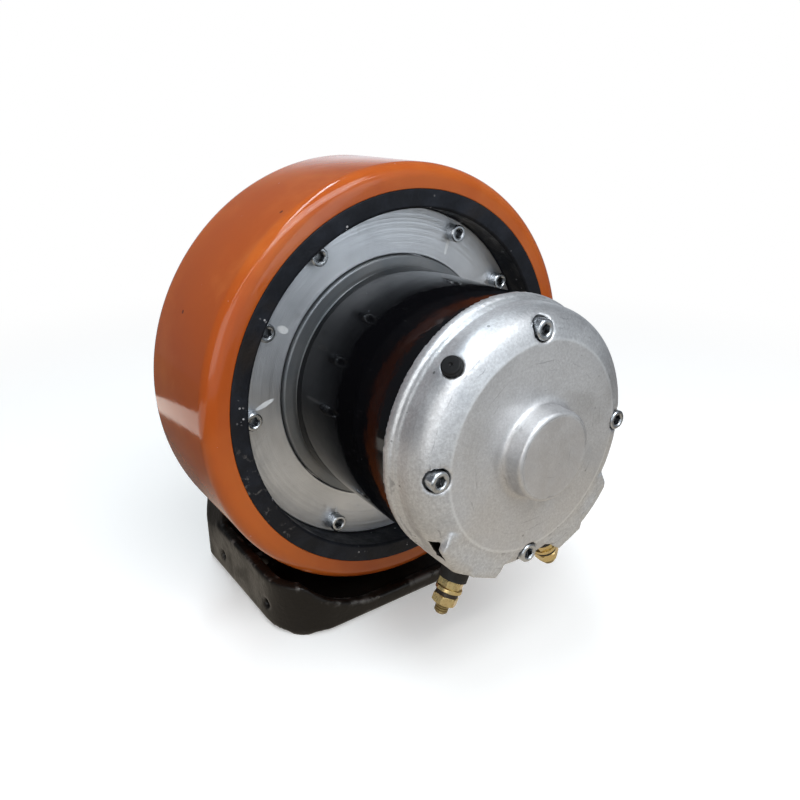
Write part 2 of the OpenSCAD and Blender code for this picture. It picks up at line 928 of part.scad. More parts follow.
// A round block over the cap whose front edge is round, which softens what stands under it
module soft_block(r, round) {
    rotate_extrude() {
        translate([0, cap_z])
            square([r, cap_len - round]);
        translate([0, cap_z])
            square([r - round, cap_len]);
        translate([r - round, cap_front - round])
            circle(r = round);
    }
}

// Each ear carries one terminal on a flat across its outer side: a wide body that runs out into the cap's wall,
// and a boss round the stud that comes further forward
module cap_ear() {
    corner = 7;
    inner = cap_in_r - 12;
    ear_start = cap_z + 1;
    intersection() {
        translate([0, 0, ear_start])
            linear_extrude(cap_len)
                polygon(concat(
                    [[inner, -12], [ear_v - 9, -9], [ear_v - 3, -6], [ear_v, -3]],
                    [for (q = [0 : 9 : 36]) [ear_v - corner + corner * cos(q), 15 + corner * sin(q)]],
                    [[ear_v - 9.2, 30], [inner, 30]]
                ));
        soft_block(ear_v + 3, 7);
    }
    intersection() {
        translate([0, 0, ear_start + 1])
            linear_extrude(cap_len)
                polygon([
                    [inner, -14], [ear_v - 8, -10.5], [ear_v - 6, -7.4], [ear_v - 2.9, -6.6],
                    [ear_v, -4.6], [ear_v, 9.2], [ear_v - 0.8, 10.2], [ear_v - 6.5, 11.4], [inner, 12]
                ]);
        soft_block(ear_v + 3.6, 3.6);
    }
}

module cap_cavity() {
    difference() {
        rotate_extrude() {
            translate([0, cap_z - cut])
                square([cap_in_r, cap_len - cap_front_t - 4 + cut]);
            translate([0, cap_z - cut])
                square([cap_in_r - 4, cap_len - cap_front_t + cut]);
            translate([cap_in_r - 4, cap_inside - 4])
                circle(r = 4);
        }
        for (a = bolt_angles)
            rotate([0, 0, a])
                translate([cap_bolt_r, 0, 0])
                    rod(pillar_r, cap_z - 2 * cut, cap_front);
    }
}

module plug_place() {
    rotate([0, 0, plug_angle])
        translate([cap_wall_r - cap_shoulder, 0, cap_front - cap_shoulder])
            rotate([0, 90 - plug_tilt, 0])
                translate([0, 0, cap_shoulder])
                    children();
}

module end_cap() {
    color([0.72, 0.73, 0.74])
        on_axle()
            difference() {
                union() {
                    rotate_extrude()
                        cap_profile();
                    rotate([0, 0, stud_angles[1]])
                        cap_ear();
                    rotate([0, 0, stud_angles[0]])
                        mirror([0, 1, 0])
                            cap_ear();
                }
                cap_cavity();
                rod(tail_od / 2, cap_inside - cut, tail_end);
                for (a = bolt_angles)
                    rotate([0, 0, a])
                        translate([cap_bolt_r, 0, 0]) {
                            rod(bolt_d / 2 + 0.25, cap_z - cut, cap_front);
                            rod(bolt_head_r + 0.8, bolt_seat, cap_front + cut);
                        }
                plug_place()
                    rod(plug_d / 2 + fit, -cap_side_t * 2, plug_out + cut);
                rotate([0, 0, vent_angle])
                    translate([cap_in_r - 3, -vent_w / 2, cap_front - 4 - vent_len])
                        cube([cap_side_t + 8, vent_w, vent_len]);
                for (a = stud_angles)
                    outwards(a, stud_z) {
                        rod(stud_d / 2 + 2 + fit, cap_in_r - 8, ear_v + cut);
                        rod(bush_collar_r + 0.4, ear_v, ear_v + 6);
                    }
            }
}

module cap_bolts() {
    color([0.7, 0.72, 0.74])
        on_axle()
            for (a = bolt_angles)
                rotate([0, 0, a])
                    translate([cap_bolt_r, 0, bolt_seat])
                        socket_screw(bolt_d, bolt_seat - bolt_end, bolt_head_r, bolt_d);
}

module cap_plug() {
    color([0.04, 0.04, 0.04])
        on_axle()
            plug_place()
                translate([0, 0, plug_out])
                    rotate_extrude()
                        difference() {
                            union() {
                                translate([0, -plug_h])
                                    square([plug_d / 2, plug_h - 0.8]);
                                translate([0, -plug_h])
                                    square([plug_d / 2 - 0.8, plug_h]);
                                translate([plug_d / 2 - 0.8, -0.8])
                                    circle(r = 0.8);
                            }
                            translate([0, 0.4])
                                circle(r = 1);
                            translate([-plug_d, -plug_h])
                                square([plug_d, plug_h + 2]);
                        }
}

module terminal_bushes() {
    color([0.1, 0.07, 0.06])
        on_axle()
            for (a = stud_angles)
                outwards(a, stud_z) {
                    ring(stud_d / 2 + fit, stud_d / 2 + 2, stud_head + 3, ear_v);
                    ring(stud_d / 2 + fit, bush_collar_r, ear_v, nut_1);
                }
}

module terminal_studs() {
    color([0.7, 0.6, 0.3])
        on_axle()
            for (a = stud_angles)
                outwards(a, stud_z)
                    rotate_extrude()
                        polygon([
                            [0, stud_head], [stud_d / 2 + 2, stud_head], [stud_d / 2 + 2, stud_head + 3],
                            [stud_d / 2, stud_head + 3], [stud_d / 2, stud_reach - 1],
                            [stud_d / 2 - 1, stud_reach], [0, stud_reach]
                        ]);
}

module hex_nut(low) {
    corner = nut_af / 2 / cos(30);
    difference() {
        intersection() {
            translate([0, 0, low])
                cylinder(h = nut_h, r = corner, $fn = 6);
            rotate_extrude()
                polygon([
                    [0, low], [nut_af / 2, low], [corner, low + 0.5], [corner, low + nut_h - 0.5],
                    [nut_af / 2, low + nut_h], [0, low + nut_h]
                ]);
        }
        rod(stud_d / 2 + fit, low - cut, low + nut_h + cut);
    }
}

module terminal_nuts() {
    color([0.72, 0.6, 0.3])
        on_axle()
            for (a = stud_angles)
                outwards(a, stud_z) {
                    hex_nut(nut_1);
                    hex_nut(nut_2);
                }
}

module terminal_washers() {
    color([0.75, 0.65, 0.35])
        on_axle()
            for (a = stud_angles)
                outwards(a, stud_z)
                    ring(stud_d / 2 + fit, nut_af / 2 + 0.9, washer_1, spring_1);
}

module spring_washers() {
    color([0.25, 0.22, 0.2])
        on_axle()
            for (a = stud_angles)
                outwards(a, stud_z)
                    difference() {
                        ring(stud_d / 2 + fit, nut_af / 2, spring_1, nut_2);
                        translate([0, -0.5, spring_1 - cut])
                            cube([nut_af, 1, spring_h + 2 * cut]);
                    }
}

// Brush gear

module brush_plate() {
    color([0.35, 0.2, 0.12])
        on_axle()
            difference() {
                ring(tail_od / 2 + 4, cap_in_r - 5, brush_plate_z, cap_inside);
                for (a = bolt_angles)
                    rotate([0, 0, a])
                        translate([cap_bolt_r, 0, 0])
                            rod(pillar_r + 0.5, brush_plate_z - cut, cap_inside + cut);
            }
}

module brush_holders() {
    wide = brush_w + 2 * holder_wall;
    color("darkgoldenrod")
        on_axle()
            for (a = brush_angles)
                rotate([0, 0, a])
                    difference() {
                        translate([holder_in, -wide / 2, brush_z - holder_wall])
                            cube([holder_out - holder_in, wide, brush_plate_z - brush_z + holder_wall]);
                        translate([holder_in - cut, -brush_w / 2 - fit, brush_z - fit])
                            cube([holder_out - holder_in + 2 * cut, brush_w + 2 * fit, brush_len + 2 * fit]);
                    }
}

module brushes() {
    color([0.15, 0.15, 0.15])
        on_axle()
            for (a = brush_angles)
                rotate([0, 0, a])
                    difference() {
                        translate([comm_r - 1, -brush_w / 2, brush_z])
                            cube([brush_out - comm_r + 1, brush_w, brush_len]);
                        rotate([0, 0, -a])
                            rod(comm_r + 0.3, brush_z - cut, brush_z + brush_len + cut);
                    }
}

// Each brush is pressed by a flat spring rolled up behind it
module brush_springs() {
    strip = 0.4;
    coil_r = 1.3;
    pitch = 0.62;
    turns = 4;
    steps = 12 * turns;
    out = function(i, extra) at(coil_r + pitch * i / 12 + extra, i * 30);
    roll_r = coil_r + pitch * turns + strip;
    color([0.6, 0.6, 0.62])
        on_axle()
            for (a = brush_angles)
                rotate([0, 0, a])
                    translate([brush_out + roll_r + 0.1, 0, brush_z + 2])
                        linear_extrude(brush_len - 4)
                            polygon(concat(
                                [for (i = [0 : steps]) out(i, 0)],
                                [for (i = [steps : -1 : 0]) out(i, strip)]
                            ));
}

module drive_bearing_outer() {
    color([0.8, 0.8, 0.82])
        on_axle()
            outer_race(drive_bore, drive_od, drive_w, drive_z);
}

module drive_bearing_balls() {
    color([0.9, 0.9, 0.92])
        on_axle()
            ball_set(drive_bore, drive_od, drive_w, drive_z, 8);
}

module tail_bearing_outer() {
    color([0.8, 0.8, 0.82])
        on_axle()
            outer_race(tail_bore, tail_od, tail_w, tail_z);
}

module tail_bearing_balls() {
    color([0.9, 0.9, 0.92])
        on_axle()
            ball_set(tail_bore, tail_od, tail_w, tail_z, 7);
}

// Motor, turning parts

module drive_bearing_inner() {
    color([0.8, 0.8, 0.82])
        on_axle()
            inner_race(drive_bore, drive_od, drive_w, drive_z);
}

module tail_bearing_inner() {
    color([0.8, 0.8, 0.82])
        on_axle()
            inner_race(tail_bore, tail_od, tail_w, tail_z);
}

module rotor_shaft() {
    color([0.7, 0.7, 0.72])
        on_axle()
            difference() {
                union() {
                    rod(shaft_r - fit, drive_z, tail_z);
                    rod(core_bore - fit, drive_end, core_end + crown_len);
                    rod(tail_shaft_r - fit, tail_z - cut, tail_end - 0.6);
                }
                rod(shank_r + fit, drive_z - cut, drive_end);
            }
}

module sun_pinion() {
    color([0.75, 0.75, 0.77])
        on_axle()
            union() {
                rod(shank_r, planet_z, drive_end - 1);
                translate([0, 0, planet_z - sun_stage_w - 1])
                    linear_extrude(sun_stage_w + 2)
                        sun_outline();
            }
}

module armature_core() {
    slot_r = 3.2;
    slot_at = core_rad - slot_r - 2.6;
    color([0.45, 0.46, 0.48])
        on_axle()
            translate([0, 0, core_start])
                linear_extrude(core_len)
                    difference() {
                        circle(r = core_rad);
                        circle(r = core_bore);
                        around(core_slots, slot_at) {
                            circle(r = slot_r);
                            translate([0, -1])
                                square([slot_r + 4, 2]);
                        }
                    }
}

module armature_winding() {
    slot_r = 3.2;
    slot_at = core_rad - slot_r - 2.6;
    color([0.72, 0.42, 0.2])
        on_axle()
            union() {
                rotate_extrude() {
                    outer_round_2d(crown_in, crown_r, core_start - crown_len, core_start, 3, 3);
                    outer_round_2d(crown_in, crown_r, core_end, core_end + crown_len, 3, 3);
                }
                around(core_slots, slot_at)
                    rod(slot_r - fit, core_start - cut, core_end + cut);
            }
}

module commutator() {
    color([0.72, 0.45, 0.25])
        on_axle()
            difference() {
                union() {
                    ring(shaft_r, comm_r, comm_start, comm_end);
                    ring(core_bore, crown_in, comm_start, comm_start + 2);
                }
                for (k = [0 : comm_bars - 1])
                    rotate([0, 0, k * 360 / comm_bars])
                        translate([comm_r - 1.5, -0.35, comm_start - cut])
                            cube([crown_in, 0.7, comm_len + 2 * cut]);
            }
}

// Bracket

// Plan of the base, with round corners, drawn in by inset
module base_plan(inset) {
    half = base_w / 2;
    translate([-half + inset, front_y + front_corner])
        square([base_w - 2 * inset, back_y - front_y - front_corner - back_corner]);
    translate([-half + front_corner, front_y + inset])
        square([base_w - 2 * front_corner, front_corner + cut - inset]);
    translate([-half + back_corner, back_y - back_corner - cut])
        square([base_w - 2 * back_corner, back_corner + cut - inset]);
    for (s = [-1, 1]) {
        translate([s * (half - front_corner), front_y + front_corner])
            circle(r = front_corner - inset);
        translate([s * (half - back_corner), back_y - back_corner])
            circle(r = back_corner - inset);
    }
}

// Front view of the arm, with the axle at the origin: straight sides, then tangents up to the round head
module arm_outline(half, head, low, shoulder) {
    reach = norm([half, axle_h - shoulder]);
    side = atan2(shoulder - axle_h, half) + acos(head / reach);
    circle(r = head);
    polygon([
        [-half, low - axle_h], [half, low - axle_h], [half, shoulder - axle_h],
        at(head, side), at(head, 180 - side), [-half, shoulder - axle_h]
    ]);
}

module upright() {
    pocket_depth = upright_t - 9;
    pocket_low = shoulder_h - 4;
    intersection() {
        on_axle()
            difference() {
                translate([0, 0, back_z])
                    linear_extrude(upright_t)
                        arm_outline(base_w / 2, head_r, pad_h, shoulder_h);
                translate([0, 0, back_z - cut])
                    linear_extrude(pocket_depth + cut)
                        difference() {
                            intersection() {
                                arm_outline(base_w / 2 - rib_t, head_r - rib_t, pocket_low, shoulder_h - 3);
                                translate([-base_w, -axle_h])
                                    square([2 * base_w, axle_h - head_r / 2]);
                            }
                            circle(r = head_r);
                            translate([-rib_t / 2, -axle_h])
                                square([rib_t, axle_h]);
                        }
                rod(spindle_r + fit, back_z - cut, upright_z + cut);
                rod(clamp_r + 0.3, back_z - cut, clamp_z);
                translate([-key_w / 2 - fit, 0, clamp_z - cut])
                    cube([key_w + 2 * fit, spindle_r - key_depth + key_h + 2 * fit, upright_t]);
            }
        linear_extrude(axle_h + tread_d)
            base_plan(0);
    }
}

// The front wall dips in a long curve, so that the motor's cap and its terminals stay clear
module scoop_outline() {
    polygon([
        for (s = [-1, 1], q = [s < 0 ? -54 : 0 : 6 : s < 0 ? 0 : 54])
            [s * scoop_mid + scoop_r * sin(q), scoop_z + scoop_r * (1 - cos(q))]
    ]);
}

module bracket() {
    color([0.1, 0.09, 0.08])
        difference() {
            union() {
                difference() {
                    translate([0, 0, pad_h])
                        linear_extrude(skirt_h - pad_h)
                            base_plan(0);
                    translate([0, 0, base_t])
                        linear_extrude(skirt_h)
                            base_plan(skirt_t);
                    translate([0, front_y + front_corner, 0])
                        rotate([90, 0, 0])
                            linear_extrude(front_corner + cut)
                                scoop_outline();
                    translate([-base_w, upright_y + 3, shoulder_h - 4])
                        cube([2 * base_w, upright_t + cut, skirt_h]);
                }
                upright();
                linear_extrude(base_t + pad_h)
                    intersection() {
                        base_plan(0);
                        for (x = [-1, 1], y = [-1, 1])
                            translate([x * mount_x / 2, y * mount_y / 2])
                                circle(r = pad_r);
                    }
            }
            for (x = [-1, 1], y = [-1, 1])
                translate([x * mount_x / 2, y * mount_y / 2, -cut])
                    cylinder(h = base_t + pad_h + 2 * cut, r = mount_d / 2);
            for (s = [-1, 1], y = side_hole_y)
                translate([s * base_w / 2, y, side_hole_z])
                    rotate([0, 90, 0])
                        cylinder(h = 2 * skirt_t + 2 * cut, r = side_hole_d / 2, center = true);
        }
}

tread();
wheel_hub();
cover_plate();
cover_screws();
cover_seal();
rear_seal();
ring_gear();
ring_screws();
main_bearing_outer();
rear_bearing_outer();
bracket();
gear_carrier();
spindle_spacer();
spindle_clamp();
spindle_screws();
spindle_key();
main_bearing_inner();
main_bearing_balls();
rear_bearing_inner();
rear_bearing_balls();
planet_pins();
thrust_washers();
motor_flange();
flange_screws();
motor_housing();
magnets();
end_cap();
cap_bolts();
cap_plug();
terminal_bushes();
terminal_studs();
terminal_nuts();
terminal_washers();
spring_washers();
brush_plate();
brush_holders();
brushes();
brush_springs();
drive_bearing_outer();
drive_bearing_balls();
tail_bearing_outer();
tail_bearing_balls();
drive_bearing_inner();
tail_bearing_inner();
rotor_shaft();
sun_pinion();
armature_core();
armature_winding();
commutator();
planet_gear_1();
planet_gear_2();
planet_gear_3();
planet_bush_1();
planet_bush_2();
planet_bush_3();
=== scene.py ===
# %% [markdown]
# # Dressing an electric drive wheel
#
# The wheel unit comes from CAD as a set of plain solids. This lesson gives it a camera, light and finishes,
# and models again the pieces where a turned profile or a softened edge shows. Lengths are in metres, apart
# from those that are said to be in mm, and every piece is made in the place where the CAD model has it.

# %% Load the frame
import math

import bmesh
import bpy
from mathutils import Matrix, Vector


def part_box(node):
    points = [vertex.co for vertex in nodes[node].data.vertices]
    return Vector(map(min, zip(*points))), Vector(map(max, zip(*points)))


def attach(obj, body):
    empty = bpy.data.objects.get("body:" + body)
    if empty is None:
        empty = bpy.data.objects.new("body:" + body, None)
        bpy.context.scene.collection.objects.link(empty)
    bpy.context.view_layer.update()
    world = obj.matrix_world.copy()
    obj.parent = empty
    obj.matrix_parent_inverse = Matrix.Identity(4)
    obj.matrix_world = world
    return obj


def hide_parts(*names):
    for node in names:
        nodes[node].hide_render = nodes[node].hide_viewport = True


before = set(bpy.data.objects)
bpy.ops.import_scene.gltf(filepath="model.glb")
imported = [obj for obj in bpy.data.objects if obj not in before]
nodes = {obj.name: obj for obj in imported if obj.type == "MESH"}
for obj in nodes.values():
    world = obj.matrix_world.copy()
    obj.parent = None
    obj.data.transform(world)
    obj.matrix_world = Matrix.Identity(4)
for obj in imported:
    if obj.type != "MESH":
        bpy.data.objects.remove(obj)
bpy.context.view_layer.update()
MM = 0.001

# %% [markdown]
# ## Camera
#
# The photograph was taken from the motor's side, a little from above and from the left. Its place and
# direction were worked out from the circles of the wheel and the motor, which look like ellipses from
# there.

# %% Camera
CAMERA_AT = Vector((-0.2004, -0.3053, 0.2480))
CAMERA_LOOKS = Vector((0.5418, 0.7537, -0.3722))
LENS_IN_MM = 33.105
SENSOR_IN_MM = 36
camera_data = bpy.data.cameras.new("photo_camera")
camera_data.lens = LENS_IN_MM
camera_data.sensor_width = SENSOR_IN_MM
camera_data.clip_start = 0.01
camera = bpy.data.objects.new("photo_camera", camera_data)
camera.location = CAMERA_AT
camera.rotation_euler = CAMERA_LOOKS.to_track_quat("-Z", "Y").to_euler()
bpy.context.scene.collection.objects.link(camera)
bpy.context.scene.camera = camera
bpy.context.scene.view_settings.view_transform = "Standard"
print("camera at", tuple(camera.location), "with a lens of", LENS_IN_MM, "mm")

# %% [markdown]
# ## Wiring helpers
#
# Materials are built by code, so a few short helpers keep the wiring readable: they add a node with its
# values, feed a socket with a number or with another socket, and do the sums and mixes that come back all
# the time.


# %% Nodes, sockets and sums
def add_node(tree, kind, **values):
    node = tree.nodes.new(kind)
    for key, value in values.items():
        if hasattr(node, key):
            setattr(node, key, value)
        else:
            node.inputs[key.replace("_", " ")].default_value = value
    return node


def feed(tree, value, socket):
    """Sets a socket to a number or a colour, or wires another socket to it."""
    if isinstance(value, (int, float, tuple)):
        socket.default_value = value
    else:
        tree.links.new(value, socket)


def math_node(tree, operation, first, second=None, clamp=False):
    node = add_node(tree, "ShaderNodeMath", operation=operation, use_clamp=clamp)
    feed(tree, first, node.inputs[0])
    if second is not None:
        feed(tree, second, node.inputs[1])
    return node.outputs[0]


def product(tree, first, *others):
    """All of them multiplied: masks that are multiplied are 1 only where each of them is."""
    for other in others:
        first = math_node(tree, "MULTIPLY", first, other)
    return first


def remap(tree, source, low, high, start=0.0, end=1.0, smooth=False):
    """Goes from start to end while the source goes from low to high."""
    node = add_node(tree, "ShaderNodeMapRange", interpolation_type="SMOOTHSTEP" if smooth else "LINEAR")
    titles = ("Value", "From Min", "From Max", "To Min", "To Max")
    for title, value in zip(titles, (source, low, high, start, end)):
        feed(tree, value, node.inputs[title])
    return node.outputs["Result"]


def mix_color(tree, share, first, second):
    """The first colour where the share is 0, and the second where it is 1."""
    node = add_node(tree, "ShaderNodeMix", data_type="RGBA")
    for title, value in (("Factor", share), ("A", first), ("B", second)):
        feed(tree, value, node.inputs[title])
    return node.outputs["Result"]


def mix_shader(tree, share, first, second):
    """The first shader where the share is 0, and the second where it is 1."""
    node = tree.nodes.new("ShaderNodeMixShader")
    for place, source in enumerate((share, first, second)):
        tree.links.new(source, node.inputs[place])
    return node.outputs[0]


def open_group(name, inputs, outputs):
    """An empty node group with named inputs, which have start values, and named outputs."""
    group = bpy.data.node_groups.new(name, "ShaderNodeTree")
    for title, value in inputs:
        socket = group.interface.new_socket(title, in_out="INPUT", socket_type="NodeSocketFloat")
        socket.default_value = value
    for title in outputs:
        group.interface.new_socket(title, in_out="OUTPUT", socket_type="NodeSocketFloat")
    return group, group.nodes.new("NodeGroupInput"), group.nodes.new("NodeGroupOutput")


# %% [markdown]
# Every pattern reads the place on the piece in the object's own coordinates, so it stays on the piece when
# the wheel turns. The axle lies along Y at a height of 120 mm, and many patterns need the distance from
# that line.

# %% Places on the object
AXLE_Z = 0.12
WHEEL_FRONT = -0.035


def object_point(tree):
    return tree.nodes.new("ShaderNodeTexCoord").outputs["Object"]


def point_parts(tree):
    """The three coordinates of the point, each by itself."""
    split = tree.nodes.new("ShaderNodeSeparateXYZ")
    tree.links.new(object_point(tree), split.inputs[0])
    return split.outputs["X"], split.outputs["Y"], split.outputs["Z"]


def hypotenuse(tree, first, second):
    squares = [product(tree, side, side) for side in (first, second)]
    return math_node(tree, "SQRT", math_node(tree, "ADD", *squares))


def turned_axes(tree, across, up, cosine, sine):
    """Two distances across the front, measured along axes that are turned by an angle."""
    first = math_node(tree, "ADD", product(tree, across, cosine), product(tree, up, sine))
    second = math_node(tree, "SUBTRACT", product(tree, up, cosine), product(tree, across, sine))
    return first, second


def axle_distance(tree):
    """The distance from the axle, and the place along it."""
    x, y, z = point_parts(tree)
    return hypotenuse(tree, x, math_node(tree, "SUBTRACT", z, AXLE_Z)), y


def round_axle(radius, angle, along=0.0):
    """A place in metres, by its radius and its angle in degrees round the axle, from the right."""
    turn = math.radians(angle)
    return radius * math.cos(turn), along, AXLE_Z + radius * math.sin(turn)


# %% [markdown]
# ## Effects that several finishes share
#
# Castings have a grain, painted and turned faces carry clouds of dirt and dust specks, and a lathe leaves
# fine rings round its axis. Each effect is one node group, built once, and every material sets its own
# scale.


# %% Clouds: slow changes of colour and gloss
def build_clouds():
    group, entry, leave = open_group(
        "clouds", [("Scale", 30), ("Low", 0.4), ("High", 0.6), ("Detail", 4)], ["Mask"])
    noise = add_node(group, "ShaderNodeTexNoise", Roughness=0.6, Distortion=0.4)
    group.links.new(object_point(group), noise.inputs["Vector"])
    group.links.new(entry.outputs["Scale"], noise.inputs["Scale"])
    group.links.new(entry.outputs["Detail"], noise.inputs["Detail"])
    mask = remap(group, noise.outputs["Fac"], entry.outputs["Low"], entry.outputs["High"], smooth=True)
    group.links.new(mask, leave.inputs["Mask"])
    return group


# %% Specks: scattered dust, chips and pits
def build_specks():
    group, entry, leave = open_group("specks", [("Scale", 300), ("Size", 0.15), ("Share", 0.2)], ["Mask"])
    cells = add_node(group, "ShaderNodeTexVoronoi", Randomness=1.0)
    group.links.new(object_point(group), cells.inputs["Vector"])
    group.links.new(entry.outputs["Scale"], cells.inputs["Scale"])
    chosen = group.nodes.new("ShaderNodeSeparateColor")
    group.links.new(cells.outputs["Color"], chosen.inputs["Color"])
    few = math_node(group, "LESS_THAN", chosen.outputs["Red"], entry.outputs["Share"])
    reach = product(group, entry.outputs["Size"], chosen.outputs["Green"])
    near = math_node(group, "LESS_THAN", cells.outputs["Distance"], reach)
    group.links.new(product(group, few, near), leave.inputs["Mask"])
    return group


# %% Grain: the skin of a sand or die casting
def build_grain():
    group, entry, leave = open_group("grain", [("Scale", 900), ("Coarse", 120)], ["Height", "Shade"])
    fine = add_node(group, "ShaderNodeTexNoise", Detail=3.0, Roughness=0.7)
    coarse = add_node(group, "ShaderNodeTexNoise", Detail=3.0, Roughness=0.5)
    point = object_point(group)
    for noise, title in ((fine, "Scale"), (coarse, "Coarse")):
        group.links.new(point, noise.inputs["Vector"])
        group.links.new(entry.outputs[title], noise.inputs["Scale"])
    part = product(group, coarse.outputs["Fac"], 0.6)
    group.links.new(math_node(group, "ADD", fine.outputs["Fac"], part), leave.inputs["Height"])
    group.links.new(remap(group, fine.outputs["Fac"], 0.36, 0.64), leave.inputs["Shade"])
    return group


# %% Turning: the fine rings that a lathe leaves, as a height
def build_turning():
    group, entry, leave = open_group("turning", [("Rings", 4000), ("Wobble", 0.2)], ["Height"])
    radius, along = axle_distance(group)
    both = math_node(group, "ADD", radius, product(group, along, 0.7))
    noise = add_node(group, "ShaderNodeTexNoise", noise_dimensions="1D", Detail=2.0, Roughness=0.8)
    group.links.new(both, noise.inputs["W"])
    group.links.new(entry.outputs["Rings"], noise.inputs["Scale"])
    waves = add_node(group, "ShaderNodeTexNoise", Scale=60.0)
    group.links.new(object_point(group), waves.inputs["Vector"])
    part = product(group, waves.outputs["Fac"], entry.outputs["Wobble"])
    group.links.new(math_node(group, "ADD", noise.outputs["Fac"], part), leave.inputs["Height"])
    return group


# %% Band: a window on the distance from the axle
def build_band():
    group, entry, leave = open_group(
        "band", [("Middle", 0.085), ("Half width", 0.002), ("Soft", 0.001)], ["Mask"])
    radius, _ = axle_distance(group)
    off = math_node(group, "ABSOLUTE", math_node(group, "SUBTRACT", radius, entry.outputs["Middle"]))
    over = math_node(group, "SUBTRACT", off, entry.outputs["Half width"])
    fade = math_node(group, "DIVIDE", over, entry.outputs["Soft"], clamp=True)
    group.links.new(math_node(group, "SUBTRACT", 1.0, fade), leave.inputs["Mask"])
    return group


# %% Streaks: scratches that follow the rings, broken by noise
def build_streaks():
    group, entry, leave = open_group("streaks", [("Rings", 1500), ("Length", 25), ("Share", 0.62)], ["Mask"])
    radius, _ = axle_distance(group)
    patch = add_node(group, "ShaderNodeTexNoise", Detail=3.0, Roughness=0.6)
    group.links.new(object_point(group), patch.inputs["Vector"])
    group.links.new(entry.outputs["Length"], patch.inputs["Scale"])
    rings = add_node(group, "ShaderNodeTexNoise", noise_dimensions="1D", Detail=1.0)
    bent = math_node(group, "ADD", radius, product(group, patch.outputs["Fac"], 0.004))
    group.links.new(bent, rings.inputs["W"])
    group.links.new(entry.outputs["Rings"], rings.inputs["Scale"])
    both = math_node(group, "ADD", product(group, rings.outputs["Fac"], 0.6),
                     product(group, patch.outputs["Fac"], 0.5))
    over = math_node(group, "SUBTRACT", both, entry.outputs["Share"])
    group.links.new(math_node(group, "MULTIPLY", over, 14.0, clamp=True), leave.inputs["Mask"])
    return group


# %% Dab: one irregular spot of paint or dust at a place on a front face
def build_dab():
    group, entry, leave = open_group(
        "dab", [("Across", 0.0), ("Up", 0.12), ("Long", 0.003), ("Wide", 0.001), ("Turn", 0.0)], ["Mask"])
    x, _, z = point_parts(group)
    across = math_node(group, "SUBTRACT", x, entry.outputs["Across"])
    up = math_node(group, "SUBTRACT", z, entry.outputs["Up"])
    cosine = math_node(group, "COSINE", entry.outputs["Turn"])
    sine = math_node(group, "SINE", entry.outputs["Turn"])
    first, second = turned_axes(group, across, up, cosine, sine)
    far = hypotenuse(group, math_node(group, "DIVIDE", first, entry.outputs["Long"]),
                     math_node(group, "DIVIDE", second, entry.outputs["Wide"]))
    noise = add_node(group, "ShaderNodeTexNoise", Scale=900.0, Detail=3.0)
    group.links.new(object_point(group), noise.inputs["Vector"])
    ragged = math_node(group, "ADD", far, product(group, noise.outputs["Fac"], 0.5))
    edge = math_node(group, "SUBTRACT", 1.25, ragged)
    group.links.new(math_node(group, "MULTIPLY", edge, 4.0, clamp=True), leave.inputs["Mask"])
    return group


# %% Build each effect once
CLOUDS = build_clouds()
SPECKS = build_specks()
GRAIN = build_grain()
TURNING = build_turning()
BAND = build_band()
STREAKS = build_streaks()
DAB = build_dab()
print("node groups:", [group.name for group in bpy.data.node_groups])


